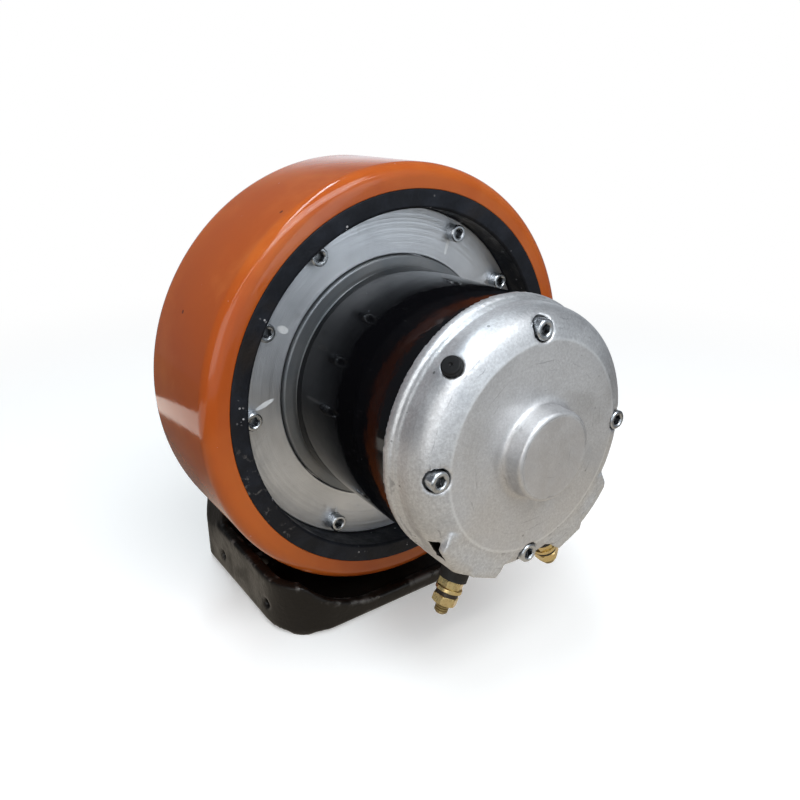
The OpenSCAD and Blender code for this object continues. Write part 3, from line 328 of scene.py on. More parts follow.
# %% Finish: a shader with its own helpers
class Finish:
    """One material: a Principled shader, and short calls that feed it."""

    def __init__(self, name, color, roughness, metallic=0.0, **sockets):
        self.material = bpy.data.materials.new(name)
        self.material.use_nodes = True
        self.material.diffuse_color = (*color, 1)
        self.tree = self.material.node_tree
        self.shader = self.tree.nodes["Principled BSDF"]
        self.color = (*color, 1)
        self.shader.inputs["Base Color"].default_value = self.color
        self.shader.inputs["Metallic"].default_value = metallic
        self.shader.inputs["Roughness"].default_value = roughness
        for key, value in sockets.items():
            self.shader.inputs[key.replace("_", " ")].default_value = value
        print("new finish:", name)

    def group(self, effect, output=0, **values):
        """One of the shared effects, with this finish's own values."""
        node = add_node(self.tree, "ShaderNodeGroup", node_tree=effect)
        for key, value in values.items():
            node.inputs[key.replace("_", " ")].default_value = value
        return node.outputs[output]

    def times(self, first, second):
        return product(self.tree, first, second)

    def tint(self, mask, color, amount=1.0):
        """Lays a second colour over the first where the mask is 1."""
        self.color = mix_color(self.tree, self.times(mask, amount), self.color, (*color, 1))
        self.tree.links.new(self.color, self.shader.inputs["Base Color"])

    def vary(self, socket, mask, low, high):
        """Moves a socket of the shader from low to high with the mask."""
        self.tree.links.new(remap(self.tree, mask, 0.0, 1.0, low, high), self.shader.inputs[socket])

    def bump(self, height, strength, distance):
        """Adds a bump to those that are there already."""
        bump = add_node(self.tree, "ShaderNodeBump", Strength=strength, Distance=distance)
        self.tree.links.new(height, bump.inputs["Height"])
        before = self.shader.inputs["Normal"].links
        if before:
            self.tree.links.new(before[0].from_socket, bump.inputs["Normal"])
        self.tree.links.new(bump.outputs["Normal"], self.shader.inputs["Normal"])

    def soft_edges(self, radius):
        """Lets light run round sharp corners as if they had this radius. It comes before any bump."""
        rounded = add_node(self.tree, "ShaderNodeBevel", samples=6, Radius=radius)
        self.tree.links.new(rounded.outputs["Normal"], self.shader.inputs["Normal"])

    def ridges(self, low, high):
        """A mask of the raised corners of a finely meshed piece, for worn paint and for painted highlights.
        """
        shape = self.tree.nodes.new("ShaderNodeNewGeometry")
        return remap(self.tree, shape.outputs["Pointiness"], low, high)

    def corners(self, reach, low=0.35, high=0.8):
        """A mask of tight inner corners and sockets, for painted shade there, and for the dirt that stays in
        sockets.
        """
        open_sky = add_node(
            self.tree, "ShaderNodeAmbientOcclusion", samples=4, only_local=True, Distance=reach)
        return remap(self.tree, open_sky.outputs["AO"], low, high, 1.0, 0.0)

    def slot_in_wall(self, angle, station, width, length):
        """A mask of a slot cut outwards through a wall. The angle goes round the axle, the rest is in mm."""
        x, y, z = point_parts(self.tree)
        turn = math.radians(angle)
        up = math_node(self.tree, "SUBTRACT", z, AXLE_Z)
        outward, sideways = turned_axes(self.tree, x, up, math.cos(turn), math.sin(turn))
        along = math_node(self.tree, "SUBTRACT", y, WHEEL_FRONT - station * MM)
        mask = math_node(self.tree, "GREATER_THAN", outward, 0.0)
        for offset, size in ((sideways, width), (along, length)):
            away = math_node(self.tree, "ABSOLUTE", offset)
            mask = self.times(mask, math_node(self.tree, "LESS_THAN", away, size / 2 * MM))
        return mask

    def spot(self, place, radius, flat=False):
        """A mask of what lies within a radius of a place. A flat one leaves out how far along the axle."""
        from_place = add_node(self.tree, "ShaderNodeVectorMath", operation="DISTANCE")
        point = object_point(self.tree)
        if flat:
            place = (place[0], 0.0, place[2])
            flatten = add_node(self.tree, "ShaderNodeMapping", Scale=(1, 0, 1))
            self.tree.links.new(point, flatten.inputs["Vector"])
            point = flatten.outputs["Vector"]
        self.tree.links.new(point, from_place.inputs[0])
        from_place.inputs[1].default_value = place
        return math_node(self.tree, "LESS_THAN", from_place.outputs["Value"], radius)

    def on(self, *pieces):
        """Puts the finish on CAD nodes, by name, or on new pieces."""
        owners = [nodes[piece] if isinstance(piece, str) else piece for piece in pieces]
        for owner in owners:
            owner.data.materials.clear()
            owner.data.materials.append(self.material)
        print(self.material.name, "is on", ", ".join(owner.name for owner in owners))


# %% [markdown]
# ## Tread
#
# The tread is polyurethane cast on to the hub: glossy, a little cloudy inside, and a deeper orange at its
# round edges, where light passes through. A real one has small dark inclusions and faint scuffs.

# %% Sizes of the tread in mm
TREAD_OUT_R = 105
TREAD_IN_R = 93.55
TREAD_WIDTH = 70
FRONT_ROUNDING = 7
BACK_ROUNDING = 10
BORE_ROUNDING = 0.5
print("tread:", 2 * TREAD_OUT_R, "mm across,", TREAD_WIDTH, "mm wide")

# %% Polyurethane
polyurethane = Finish(
    "cast_polyurethane", (0.50, 0.114, 0.018), 0.12, Specular_IOR_Level=0.3,
    Subsurface_Weight=0.08, Subsurface_Scale=0.003, Subsurface_Radius=(1.0, 0.3, 0.08), IOR=1.5
)
polyurethane.tint(polyurethane.group(CLOUDS, Scale=9, Low=0.42, High=0.62), (0.42, 0.082, 0.013))
polyurethane.tint(
    polyurethane.group(CLOUDS, Scale=28, Low=0.5, High=0.75, Detail=6), (0.55, 0.145, 0.03), 0.45)

# %% Two dark inclusions: the angle round the axle, and the place in front of the wheel's face in mm
INCLUSIONS = [(124, -10.9), (155, -38.3)]
INCLUSION_R = 0.0009
for angle, station in INCLUSIONS:
    inclusion = round_axle(TREAD_OUT_R * MM, angle, WHEEL_FRONT - station * MM)
    polyurethane.tint(polyurethane.spot(inclusion, INCLUSION_R), (0.07, 0.02, 0.01), 0.8)
print("inclusions:", len(INCLUSIONS))

# %% Dust and gloss of the tread
dust = polyurethane.times(
    polyurethane.group(SPECKS, Scale=340, Size=0.2, Share=0.05),
    polyurethane.group(CLOUDS, Scale=20, Low=0.5, High=0.7))
polyurethane.tint(dust, (0.75, 0.66, 0.6), 0.6)
polyurethane.vary("Roughness", polyurethane.group(CLOUDS, Scale=40, Low=0.35, High=0.7), 0.06, 0.14)
polyurethane.bump(polyurethane.group(CLOUDS, Scale=55, Low=0.2, High=0.8, Detail=2), 0.12, 0.0004)
polyurethane.bump(polyurethane.group(TURNING, Rings=500, Wobble=0.3), 0.04, 0.0003)

# %% [markdown]
# The tread is a solid of revolution, so it is turned: its section is drawn as a closed loop of corners,
# each corner is rounded by a vertex bevel, and the loop is spun once round the axle.


# %% Turning a section round the axle
ROUNDING_STEPS = 9
SAME_POINT = 1e-6


def link_piece(name, mesh, body):
    piece = bpy.data.objects.new(name, mesh)
    bpy.context.scene.collection.objects.link(piece)
    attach(piece, body)
    return piece


def shade_smooth(mesh):
    mesh.polygons.foreach_set("use_smooth", [True] * len(mesh.polygons))


def spin_section(work, corners, steps):
    """corners: (radius, distance in front of the wheel's face, rounding) in mm, in a closed loop."""
    made = [work.verts.new((r * MM, WHEEL_FRONT - s * MM, AXLE_Z)) for r, s, _ in corners]
    edges = [work.edges.new((made[i], made[(i + 1) % len(made)])) for i in range(len(made))]
    for vert, (_, _, rounding) in zip(made, corners):
        if rounding > 0:
            bmesh.ops.bevel(
                work, geom=[vert], offset=rounding * MM, offset_type="OFFSET", segments=ROUNDING_STEPS,
                profile=0.5, affect="VERTICES", clamp_overlap=False, material=-1)
    bmesh.ops.spin(
        work, geom=list(work.edges) + list(work.verts), cent=(0, 0, AXLE_Z), axis=(0, 1, 0),
        angle=2 * math.pi, steps=steps, use_merge=True)
    bmesh.ops.remove_doubles(work, verts=work.verts, dist=SAME_POINT)
    bmesh.ops.recalc_face_normals(work, faces=work.faces)


def turned(name, corners, body, steps, sharp_from=35):
    work = bmesh.new()
    spin_section(work, corners, steps)
    mesh = bpy.data.meshes.new(name)
    work.to_mesh(mesh)
    work.free()
    shade_smooth(mesh)
    mesh.set_sharp_from_angle(angle=math.radians(sharp_from))
    return link_piece(name, mesh, body)


# %% Tread
tread_cast = turned("tread_cast", [
    (TREAD_IN_R, 0, BORE_ROUNDING), (TREAD_OUT_R, 0, FRONT_ROUNDING),
    (TREAD_OUT_R, -TREAD_WIDTH, BACK_ROUNDING), (TREAD_IN_R, -TREAD_WIDTH, BORE_ROUNDING)
], "wheel", steps=256)
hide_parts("tread")
polyurethane.on(tread_cast)
print("tread faces:", len(tread_cast.data.polygons))

# %% [markdown]
# ## Castings with soft corners
#
# The bracket comes from a sand mould and the motor's cap from a die, so no corner of them is sharp. A voxel
# remesh turns the CAD solid into an even skin, a few rounds of smoothing take the corners down by about a
# millimetre, and the dense skin also lets a finish find the raised corners, where paint wears off on the
# bracket and where a highlight is painted on both castings.


# %% A soft copy of a CAD solid
def soft_casting(node, title, body, voxel, rounds):
    """Replaces a CAD node by a skin with voxels of this size in mm, eased over a number of rounds."""
    work = bmesh.new()
    work.from_mesh(nodes[node].data)
    bmesh.ops.remove_doubles(work, verts=work.verts, dist=SAME_POINT)
    rough = bpy.data.meshes.new(title + "_rough")
    work.to_mesh(rough)
    work.free()
    mould = bpy.data.objects.new(title + "_rough", rough)
    bpy.context.scene.collection.objects.link(mould)
    skin = mould.modifiers.new("skin", "REMESH")
    skin.mode = "VOXEL"
    skin.voxel_size = voxel * MM
    ease = mould.modifiers.new("ease", "SMOOTH")
    ease.factor = 0.5
    ease.iterations = rounds
    ready = mould.evaluated_get(bpy.context.evaluated_depsgraph_get())
    mesh = bpy.data.meshes.new_from_object(ready)
    bpy.data.objects.remove(mould)
    mesh.name = title
    shade_smooth(mesh)
    piece = link_piece(title, mesh, body)
    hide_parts(node)
    print(title, "has", len(mesh.polygons), "faces")
    return piece


bracket_cast = soft_casting("bracket", "bracket_cast", "frame", 1.2, 4)
cap_die_cast = soft_casting("end_cap", "cap_die_cast", "frame", 0.75, 2)

# %% [markdown]
# The cap's flat face meets its round shoulder in a faint crease. The shoulder of the CAD cap runs smoothly
# into the face, so the skin just outside the face is let down by up to 0.4 mm, most of it close to the
# crease.

# %% Crease round the cap's face
FACE_R = 45.2 * MM
SHOULDER = 12 * MM
SHOULDER_START = WHEEL_FRONT - 76 * MM
CREASE_SLOPE = 0.22
moved = 0
for vert in cap_die_cast.data.vertices:
    share = (math.hypot(vert.co.x, vert.co.z - AXLE_Z) - FACE_R) / SHOULDER
    if 0 < share < 1 and vert.co.y < SHOULDER_START:
        vert.co.y += CREASE_SLOPE * SHOULDER * share * (1 - share) ** 2
        moved += 1
cap_die_cast.data.update()
print("cap points let down:", moved)

# %% [markdown]
# ## CAD nodes that keep their shape
#
# A CAD mesh is loose triangles. Welding them lets the shading run smoothly across round faces, and
# splitting at sharp angles keeps the corners crisp. Both are modifiers, so the mesh itself stays as it was.


# %% Smooth shading for CAD nodes
def smooth_cad(*names, angle=32):
    for name in names:
        node = nodes[name]
        shade_smooth(node.data)
        weld = node.modifiers.new("weld", "WELD")
        weld.merge_threshold = SAME_POINT
        split = node.modifiers.new("split", "EDGE_SPLIT")
        split.split_angle = math.radians(angle)


replaced = {"tread", "bracket", "end_cap"}
smooth_cad(*[name for name in nodes if name not in replaced])
print("smoothed nodes:", len(nodes) - len(replaced))

# %% [markdown]
# ## Black castings
#
# The hub and the bracket are iron castings in black paint. The hub's rim is rough, with chips down to
# bright metal on the inner edge. The bracket is smoother, with a satin gloss, and a brown cast where light
# grazes it.

# %% Hub
hub_black = Finish("rough_black_casting", (0.0075, 0.0085, 0.0115), 0.42, Specular_IOR_Level=0.15)
hub_black.soft_edges(0.0009)
hub_black.tint(hub_black.group(CLOUDS, Scale=40, Low=0.4, High=0.7), (0.018, 0.021, 0.029))
hub_black.tint(hub_black.group(CLOUDS, Scale=17, Low=0.55, High=0.75), (0.022, 0.016, 0.011), 0.7)

# %% Rubbed paint and dust on the hub's rim
rubbed = hub_black.times(
    hub_black.group(CLOUDS, Scale=230, Low=0.56, High=0.70, Detail=8),
    hub_black.group(DAB, Across=-0.081, Up=0.082, Long=0.034, Wide=0.010, Turn=1.98))
hub_black.tint(rubbed, (0.19, 0.18, 0.175), 0.6)
dust = hub_black.times(
    hub_black.group(BAND, Middle=0.0868, Half_width=0.0018, Soft=0.003),
    hub_black.times(
        hub_black.group(SPECKS, Scale=560, Size=0.6, Share=0.4),
        hub_black.group(CLOUDS, Scale=48, Low=0.6, High=0.66)))
hub_black.tint(dust, (0.50, 0.50, 0.52), 0.85)
hub_black.bump(hub_black.group(GRAIN, Scale=420, Coarse=110), 0.5, 0.0006)
hub_black.vary("Roughness", hub_black.group(CLOUDS, Scale=90, Low=0.3, High=0.7), 0.32, 0.6)
hub_black.on("wheel_hub")

# %% Bracket
bracket_black = Finish("satin_black_casting", (0.0075, 0.006, 0.0048), 0.38, Specular_IOR_Level=0.22)
bracket_black.tint(bracket_black.group(CLOUDS, Scale=24, Low=0.45, High=0.75), (0.017, 0.014, 0.011))
bracket_black.tint(bracket_black.group(SPECKS, Scale=260, Size=0.3, Share=0.02), (0.18, 0.16, 0.14), 0.6)
# Worn paint and a painted highlight along the bracket's raised corners, broken up by clouds.
wear_and_painted_highlight = bracket_black.times(
    bracket_black.ridges(0.505, 0.55),
    bracket_black.group(CLOUDS, Scale=95, Low=0.50, High=0.62, Detail=6))
bracket_black.tint(wear_and_painted_highlight, (0.24, 0.23, 0.22), 0.75)
bracket_black.bump(bracket_black.group(GRAIN, Scale=260, Coarse=60), 0.35, 0.0007)
bracket_black.vary("Roughness", bracket_black.group(CLOUDS, Scale=60, Low=0.35, High=0.7), 0.28, 0.5)
bracket_black.on(bracket_cast)

# %% [markdown]
# ## Turned steel
#
# The cover plate was faced on a lathe. Fine rings catch the light, grease leaves soft smudges, and near
# some of the screws there are dabs of white locking paint.

# %% Cover plate
plate_steel = Finish("turned_plate", (0.68, 0.70, 0.73), 0.3, metallic=0.92)
plate_steel.soft_edges(0.0006)
plate_steel.tint(plate_steel.group(CLOUDS, Scale=22, Low=0.4, High=0.65), (0.56, 0.58, 0.61), 0.8)
plate_steel.tint(plate_steel.group(CLOUDS, Scale=70, Low=0.6, High=0.85, Detail=7), (0.20, 0.20, 0.20), 0.5)
plate_steel.tint(plate_steel.group(STREAKS, Rings=900, Length=40, Share=0.66), (0.82, 0.82, 0.82), 0.15)
plate_steel.bump(plate_steel.group(TURNING, Rings=3200, Wobble=0.05), 0.6, 0.0002)
plate_steel.vary("Roughness", plate_steel.group(CLOUDS, Scale=35, Low=0.3, High=0.7), 0.30, 0.42)

# %% Dabs of locking paint: place across and up from the axle, length and width in mm, and turn in radians
PAINT_DABS = [
    (-59.3, 35.6, 3.3, 1.9, 2.65),
    (-70.6, 2.4, 5.6, 1.35, 0.35),
    (33.4, 62.9, 5.0, 1.0, 1.25),
    (-35.4, -64.0, 2.6, 0.7, 1.45),
]
painted = 0.0
for across, up, long, wide, turn in PAINT_DABS:
    dab = plate_steel.group(
        DAB, Across=across * MM, Up=AXLE_Z + up * MM, Long=long * MM, Wide=wide * MM, Turn=turn)
    painted = math_node(plate_steel.tree, "MAXIMUM", painted, dab)
plate_steel.tint(painted, (0.84, 0.87, 0.90), 0.95)
plate_steel.vary("Metallic", painted, 0.92, 0.0)
# Painted shade in the plate's own tight corners, such as the counterbores round the screws.
plate_steel.tint(plate_steel.corners(0.003), (0.05, 0.05, 0.05), 0.8)
plate_steel.on("cover_plate")

# %% Flange ring
flange_grey = Finish("oiled_flange", (0.17, 0.185, 0.20), 0.36, metallic=0.7)
flange_grey.soft_edges(0.0008)
flange_grey.tint(flange_grey.group(CLOUDS, Scale=30, Low=0.4, High=0.7), (0.22, 0.225, 0.23))
flange_grey.bump(flange_grey.group(TURNING, Rings=3000, Wobble=0.1), 0.35, 0.0002)
flange_grey.on("motor_flange", "spindle_clamp")

# %% [markdown]
# ## Motor tube
#
# The tube is glossy black enamel over steel. Its reflections do most of the work, so the paint is nearly
# black and smooth, with a faint orange peel and a little dust.

# %% Motor tube
tube_black = Finish("black_enamel", (0.0025, 0.0025, 0.0032), 0.08, Specular_IOR_Level=0.2)
tube_black.tint(tube_black.group(SPECKS, Scale=420, Size=0.18, Share=0.03), (0.07, 0.08, 0.09), 0.6)
tube_black.bump(tube_black.group(CLOUDS, Scale=160, Low=0.2, High=0.8, Detail=1), 0.06, 0.0004)
tube_black.vary("Roughness", tube_black.group(CLOUDS, Scale=50, Low=0.35, High=0.75), 0.05, 0.13)
tube_black.on("motor_housing")

# %% [markdown]
# ## Cast aluminium cap
#
# The cap is a blasted die casting: a pale satin metal with a fine sparkling grain, darker clouds and pits,
# raised corners lightened by a painted highlight, and dark scratches that follow the rings. The face is a
# little greyer than the shoulder, partly for a rougher finish and partly as painted shade, with a painted
# highlight on the crease, and the top of the boss is greyer still. Painted shade darkens the tight corners,
# the gaps round the bolts' heads and the vent.

# %% Cap: grain, clouds and pits
cap_cast = Finish("blasted_die_casting", (0.66, 0.67, 0.68), 0.5, metallic=0.8)
cap_cast.tint(cap_cast.group(GRAIN, output=1, Scale=900, Coarse=100), (0.46, 0.46, 0.47), 0.8)
cap_cast.tint(cap_cast.group(GRAIN, output=1, Scale=430, Coarse=100), (0.44, 0.44, 0.45), 0.35)
cap_cast.tint(cap_cast.group(CLOUDS, Scale=30, Low=0.52, High=0.8, Detail=6), (0.36, 0.38, 0.41), 0.7)
cap_cast.tint(cap_cast.group(SPECKS, Scale=420, Size=0.3, Share=0.05), (0.12, 0.12, 0.12), 0.7)
# A painted highlight on the cap's raised corners.
cap_cast.tint(cap_cast.ridges(0.52, 0.60), (0.78, 0.79, 0.80), 0.5)

# %% Cap: the boss, the scratches, the face and its crease, with painted shade and a painted highlight
BOSS_TOP_R = 0.0165
boss_top = cap_cast.group(BAND, Middle=0.0, Half_width=BOSS_TOP_R, Soft=0.0004)
cap_cast.tint(boss_top, (0.50, 0.48, 0.47), 0.5)
scratches = cap_cast.group(STREAKS, Rings=700, Length=110, Share=0.70)
cap_cast.tint(scratches, (0.20, 0.20, 0.22), 0.5)
# The face is greyer: partly a rougher cast finish, partly painted shade.
face = cap_cast.group(BAND, Middle=0.0, Half_width=FACE_R - 0.6 * MM, Soft=0.0008)
cap_cast.tint(face, (0.58, 0.56, 0.55), 0.3)
# A painted highlight on the crease round the face.
crease = cap_cast.group(BAND, Middle=FACE_R, Half_width=0.0002, Soft=0.0007)
cap_cast.tint(crease, (0.86, 0.87, 0.88), 0.35)
# Painted shade in the cap's tight corners, such as the foot of the boss and the bolt pockets.
cap_cast.tint(cap_cast.corners(0.0035), (0.10, 0.10, 0.105), 0.85)

# %% Cap: painted shade in the gaps round the bolts' heads and in the vent in the wall
HEAD_GAP_R = 0.0050
BOLT_HEAD_R = 0.00425
BOLT_RING_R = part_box("cap_bolts")[1][0] - BOLT_HEAD_R
VENT = {"angle": 217, "station": 79.4, "width": 9.4, "length": 5.6}
for angle in (0, 90, 180, 270):
    gap = cap_cast.spot(round_axle(BOLT_RING_R, angle), HEAD_GAP_R, flat=True)
    cap_cast.tint(gap, (0.03, 0.03, 0.032), 0.9)
cap_cast.tint(cap_cast.slot_in_wall(**VENT), (0.006, 0.006, 0.006))
cap_cast.bump(cap_cast.group(GRAIN, Scale=850, Coarse=140), 0.4, 0.0003)
cap_cast.vary("Roughness", cap_cast.group(CLOUDS, Scale=45, Low=0.3, High=0.7), 0.40, 0.55)
cap_cast.on(cap_die_cast)

# %% [markdown]
# ## Small metal parts
#
# Screws are bright zinc, the terminal studs and nuts are yellow zinc with a greenish bloom, and the pieces
# inside the motor and the gear case each get the look of their own metal or material.

# %% Bright zinc
zinc = Finish("bright_zinc", (0.50, 0.52, 0.54), 0.24, metallic=1.0)
zinc.soft_edges(0.0004)
zinc.tint(zinc.group(CLOUDS, Scale=160, Low=0.45, High=0.75), (0.26, 0.27, 0.29), 0.8)
# Painted shade, with some dirt, in the hex sockets and other tight corners.
zinc.tint(zinc.corners(0.003, 0.45, 0.85), (0.012, 0.012, 0.014), 0.95)
zinc.vary("Roughness", zinc.group(CLOUDS, Scale=260, Low=0.3, High=0.7), 0.18, 0.4)
zinc.bump(zinc.group(GRAIN, Scale=900, Coarse=300), 0.15, 0.0002)
zinc.on("cover_screws", "ring_screws", "flange_screws", "spindle_screws", "cap_bolts", "brush_springs")

# %% Yellow zinc
yellow_zinc = Finish("yellow_zinc", (0.66, 0.50, 0.24), 0.28, metallic=1.0)
yellow_zinc.soft_edges(0.0003)
yellow_zinc.tint(yellow_zinc.group(CLOUDS, Scale=130, Low=0.4, High=0.7), (0.54, 0.47, 0.22), 0.6)
yellow_zinc.tint(yellow_zinc.group(CLOUDS, Scale=300, Low=0.55, High=0.8), (0.16, 0.10, 0.05), 0.7)
yellow_zinc.vary("Roughness", yellow_zinc.group(CLOUDS, Scale=260, Low=0.3, High=0.7), 0.2, 0.42)
yellow_zinc.on("terminal_nuts", "terminal_washers")

# %% Threads: the studs point straight away from the axle, so waves on that distance run across them
THREAD_PITCH = 0.001
thread_zinc = Finish("threaded_zinc", (0.42, 0.33, 0.16), 0.32, metallic=1.0)
from_axle, _ = axle_distance(thread_zinc.tree)
wave = math_node(thread_zinc.tree, "SINE", thread_zinc.times(from_axle, 2 * math.pi / THREAD_PITCH))
thread_zinc.tint(wave, (0.10, 0.07, 0.03), 0.8)
thread_zinc.bump(wave, 1.0, 0.0004)
thread_zinc.vary("Roughness", thread_zinc.group(CLOUDS, Scale=260, Low=0.3, High=0.7), 0.22, 0.42)
thread_zinc.on("terminal_studs")

# %% Rubber
black_rubber = Finish("black_rubber", (0.006, 0.006, 0.0065), 0.5, Specular_IOR_Level=0.2)
black_rubber.bump(black_rubber.group(GRAIN, Scale=700, Coarse=200), 0.2, 0.0003)
black_rubber.on("cap_plug", "cover_seal", "rear_seal")

# %% Inner pieces: name, colour, cloud colour, roughness, metallic, and the nodes that have it
INNER_FINISHES = [
    ("ground_steel", (0.42, 0.43, 0.45), (0.30, 0.31, 0.33), 0.3, 1.0,
     ["ring_gear", "sun_pinion", "planet_gear_1", "planet_gear_2", "planet_gear_3", "planet_pins",
      "rotor_shaft", "spindle_spacer", "spindle_key"]),
    ("bearing_steel", (0.62, 0.63, 0.65), (0.50, 0.51, 0.53), 0.16, 1.0,
     [name for name in nodes if "bearing" in name]),
    ("machined_iron", (0.20, 0.20, 0.21), (0.13, 0.13, 0.14), 0.42, 0.8, ["gear_carrier"]),
    ("laminated_core", (0.26, 0.27, 0.28), (0.18, 0.18, 0.19), 0.45, 0.8, ["armature_core"]),
    ("ferrite", (0.06, 0.055, 0.055), (0.09, 0.08, 0.08), 0.55, 0.2, ["magnets"]),
    ("enamelled_copper", (0.48, 0.16, 0.06), (0.33, 0.10, 0.04), 0.3, 0.6, ["armature_winding"]),
    ("commutator_copper", (0.60, 0.28, 0.13), (0.40, 0.18, 0.09), 0.3, 1.0, ["commutator"]),
    ("brown_laminate", (0.16, 0.07, 0.03), (0.11, 0.05, 0.025), 0.5, 0.0, ["brush_plate"]),
    ("sheet_brass", (0.52, 0.36, 0.12), (0.38, 0.25, 0.09), 0.3, 1.0, ["brush_holders"]),
    ("bearing_bronze", (0.44, 0.24, 0.09), (0.32, 0.17, 0.07), 0.36, 1.0,
     ["thrust_washers", "planet_bush_1", "planet_bush_2", "planet_bush_3"]),
    ("brush_carbon", (0.02, 0.02, 0.02), (0.035, 0.035, 0.035), 0.6, 0.0, ["brushes"]),
    # The terminal bushes are black, and their near-black colour also stands in for the shade under the cap's
    # ears: painted shade.
    ("dark_insulation_with_painted_shade", (0.005, 0.0045, 0.004), (0.009, 0.007, 0.006), 0.6, 0.0, ["terminal_bushes"]),
    ("oiled_spring_steel", (0.03, 0.026, 0.022), (0.055, 0.045, 0.035), 0.4, 0.8, ["spring_washers"]),
]
for title, color, second, roughness, metallic, members in INNER_FINISHES:
    finish = Finish(title, color, roughness, metallic=metallic)
    finish.tint(finish.group(CLOUDS, Scale=90, Low=0.4, High=0.65), second)
    finish.vary(
        "Roughness", finish.group(CLOUDS, Scale=150, Low=0.3, High=0.7), roughness * 0.8, roughness * 1.3)
    finish.bump(finish.group(GRAIN, Scale=700, Coarse=200), 0.12, 0.0002)
    finish.on(*members)

# %% [markdown]
# ## Light
#
# A large window above and in front gives the main light. A strip overhead brightens the tops, a low window
# on the left and a tall narrow one on the right fill the sides, and a long ceiling tube that lies across
# the room draws the bright line along the front rounding of the tread.

# %% Lamps: name, place, target, width and height, power in watts, colour
LAMPS = [
    ("main_window", (-0.10, -0.88, 1.28), (0, 0, AXLE_Z), (1.1, 0.8), 15.5, (0.92, 0.96, 1.0)),
    ("overhead_strip", (-0.15, 0.1, 1.3), (0, 0, AXLE_Z), (1.1, 0.12), 7, (0.84, 0.93, 1.0)),
    ("left_window", (-1.2, -0.8, 0.45), (0, 0, AXLE_Z), (0.9, 0.7), 4.2, (1.0, 0.97, 0.93)),
    ("tall_window", (0.57, -1.33, 0.36), (0, 0, 0.14), (0.34, 0.95), 1.6, (0.88, 0.95, 1.0)),
    ("ceiling_tube", (-0.70, -1.02, 1.32), (-0.70, 0, AXLE_Z), (2.7, 0.035), 4.2, (1.0, 0.97, 0.92)),
]
for name, place, target, size, power, color in LAMPS:
    data = bpy.data.lights.new(name, "AREA")
    data.shape = "RECTANGLE"
    data.size, data.size_y = size
    data.energy = power
    data.color = color
    lamp = bpy.data.objects.new(name, data)
    lamp.location = place
    lamp.rotation_euler = (Vector(target) - Vector(place)).to_track_quat("-Z", "Y").to_euler()
    bpy.context.scene.collection.objects.link(lamp)
    print(name, "shines with", power, "W")

# %% [markdown]
# ## World
#
# The world and the floor have three looks each: one for the camera, one for mirrors, and one for matt
# surfaces. The camera sees a plain white world. Mirrors see a bright window in front above the horizon, a
# pale backdrop behind on the right, and a dimmer room elsewhere. Matt surfaces get a weak even light from
# it.


# %% A look for each kind of ray
def look_by_ray(tree, matt, mirrored, seen):
    """One shader for the light on matt surfaces, one for mirrors and glass, and one for the camera."""
    rays = tree.nodes.new("ShaderNodeLightPath")
    to_mirror = math_node(tree, "MAXIMUM", rays.outputs["Is Glossy Ray"], rays.outputs["Is Transmission Ray"])
    unseen = mix_shader(tree, to_mirror, matt, mirrored)
    return mix_shader(tree, rays.outputs["Is Camera Ray"], unseen, seen)


# %% Bright and dim directions of the room
world = bpy.data.worlds.new("studio")
bpy.context.scene.world = world
world.use_nodes = True
sky = world.node_tree
direction = sky.nodes.new("ShaderNodeSeparateXYZ")
sky.links.new(sky.nodes.new("ShaderNodeTexCoord").outputs["Generated"], direction.inputs[0])
to_right, to_back, to_top = direction.outputs["X"], direction.outputs["Y"], direction.outputs["Z"]


def light_share(source, dark, bright):
    """Grows softly from 0 at the dark limit to 1 at the bright one, whichever of them is the higher."""
    low, high = sorted((dark, bright))
    return remap(sky, source, low, high, float(low == bright), float(high == bright), smooth=True)


window_share = product(sky, light_share(to_back, -0.2, -0.7), light_share(to_right, 0.85, 0.5),
                       light_share(to_top, -0.30, -0.20))
off_level = math_node(sky, "ABSOLUTE", to_top)
backdrop_share = product(sky, light_share(to_back, 0.3, 0.75), light_share(off_level, 0.4, 0.1),
                         light_share(to_right, -0.1, 0.45))
bright_share = math_node(sky, "MAXIMUM", window_share, backdrop_share)
room_color = mix_color(sky, bright_share, (0.17, 0.18, 0.20, 1), (0.86, 0.93, 1.0, 1))
print("room directions ready")

# %% The three looks of the world
sky_light = sky.nodes["Background"]
sky_light.inputs["Color"].default_value = (0.94, 0.97, 1.0, 1)
sky_light.inputs["Strength"].default_value = 0.15
sky_mirrored = add_node(sky, "ShaderNodeBackground", Strength=1.0)
sky.links.new(room_color, sky_mirrored.inputs["Color"])
sky_seen = add_node(sky, "ShaderNodeBackground", Color=(1, 1, 1, 1), Strength=1.0)
sky_look = look_by_ray(sky, sky_light.outputs[0], sky_mirrored.outputs[0], sky_seen.outputs[0])
sky.links.new(sky_look, sky.nodes["World Output"].inputs["Surface"])
print("world ready")

# %% [markdown]
# ## Floor
#
# The camera sees a white board with the object's shadow, which fades to the white of the backdrop further
# out, so no horizon shows. Mirrors see a pale table near the base, shade behind the wheel with one patch of
# sunlight on the left, and the daylit floor far out in front. Matt surfaces get a weak warm light back from
# it.

# %% A round board
FLOOR_R = 0.85
floor_mesh = bpy.data.meshes.new("floor")
work = bmesh.new()
bmesh.ops.create_circle(work, cap_ends=True, segments=96, radius=FLOOR_R)
work.to_mesh(floor_mesh)
work.free()
floor = bpy.data.objects.new("floor", floor_mesh)
bpy.context.scene.collection.objects.link(floor)
floor_paint = bpy.data.materials.new("pale_floor")
floor_paint.use_nodes = True
floor.data.materials.append(floor_paint)
board = floor_paint.node_tree
print("floor of", 2 * FLOOR_R, "m across")


# %% What the camera sees: a lit board that fades to white
def glow(color, strength):
    return add_node(board, "ShaderNodeEmission", Color=(*color, 1), Strength=strength).outputs[0]


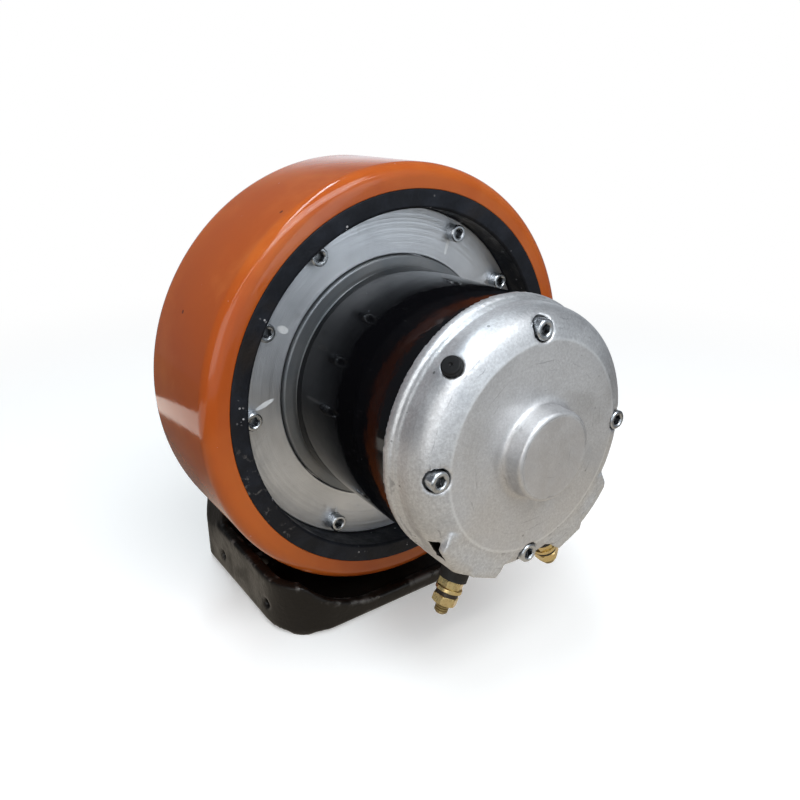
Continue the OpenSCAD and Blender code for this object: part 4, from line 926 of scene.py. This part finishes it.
FADE_FROM, FADE_TO = 0.22, 0.75
board_shader = board.nodes["Principled BSDF"]
board_shader.inputs["Base Color"].default_value = (0.80, 0.80, 0.79, 1)
board_shader.inputs["Roughness"].default_value = 0.9
board_shader.inputs["Specular IOR Level"].default_value = 0.2
lit_board = board.nodes.new("ShaderNodeAddShader")
board.links.new(board_shader.outputs[0], lit_board.inputs[0])
board.links.new(glow((1, 1, 1), 0.32), lit_board.inputs[1])
from_middle = add_node(board, "ShaderNodeVectorMath", operation="LENGTH")
board.links.new(object_point(board), from_middle.inputs[0])
fade = remap(board, from_middle.outputs["Value"], FADE_FROM, FADE_TO, smooth=True)
seen_look = mix_shader(board, fade, lit_board.outputs[0], glow((1, 1, 1), 1.0))
print("board fades to white from", FADE_FROM, "to", FADE_TO)

# %% What mirrors see: a pale table, and the dim floor round it
TABLE_EDGE_FROM, TABLE_EDGE_TO = 0.26, 0.44
pale_table = glow((1.0, 0.90, 0.76), 0.66)
dim_floor = glow((1.0, 0.96, 0.9), 0.16)
off_table = remap(board, from_middle.outputs["Value"], TABLE_EDGE_FROM, TABLE_EDGE_TO, smooth=True)
mirrored_look = mix_shader(board, off_table, pale_table, dim_floor)
floor_x, floor_y, _ = point_parts(board)


def behind_line(slope, start, sharpness):
    """1 behind a line that passes X = 0 at Y = start. A negative sharpness gives 1 in front of it."""
    line = math_node(board, "ADD", product(board, floor_x, slope), start)
    return math_node(board, "MULTIPLY", math_node(board, "SUBTRACT", floor_y, line), sharpness, clamp=True)


# %% Shade behind the wheel, a patch of sunlight on the left, and the daylit floor in front
SHADE_FROM = 0.06
SHADE_SHARPNESS = 14.0
DAYLIT_FROM = -0.50
DAYLIT_SHARPNESS = 8.0
PATCH_SHARPNESS = 120
PATCH_FRONT_EDGE = (0.97, 0.415)
PATCH_BACK_EDGE = (0.13, 0.370)
shade = behind_line(0.0, SHADE_FROM, SHADE_SHARPNESS)
mirrored_look = mix_shader(board, shade, mirrored_look, dim_floor)
patch = product(board, behind_line(*PATCH_FRONT_EDGE, PATCH_SHARPNESS),
                behind_line(*PATCH_BACK_EDGE, -PATCH_SHARPNESS))
mirrored_look = mix_shader(board, patch, mirrored_look, glow((1.0, 0.95, 0.88), 1.5))
daylit = behind_line(0.0, DAYLIT_FROM, -DAYLIT_SHARPNESS)
mirrored_look = mix_shader(board, daylit, mirrored_look, glow((0.86, 0.93, 1.0), 1.0))
matt_look = add_node(board, "ShaderNodeBsdfDiffuse", Color=(0.38, 0.33, 0.27, 1)).outputs[0]
floor_look = look_by_ray(board, matt_look, mirrored_look, seen_look)
board.links.new(floor_look, board.nodes["Material Output"].inputs["Surface"])
print("floor ready")
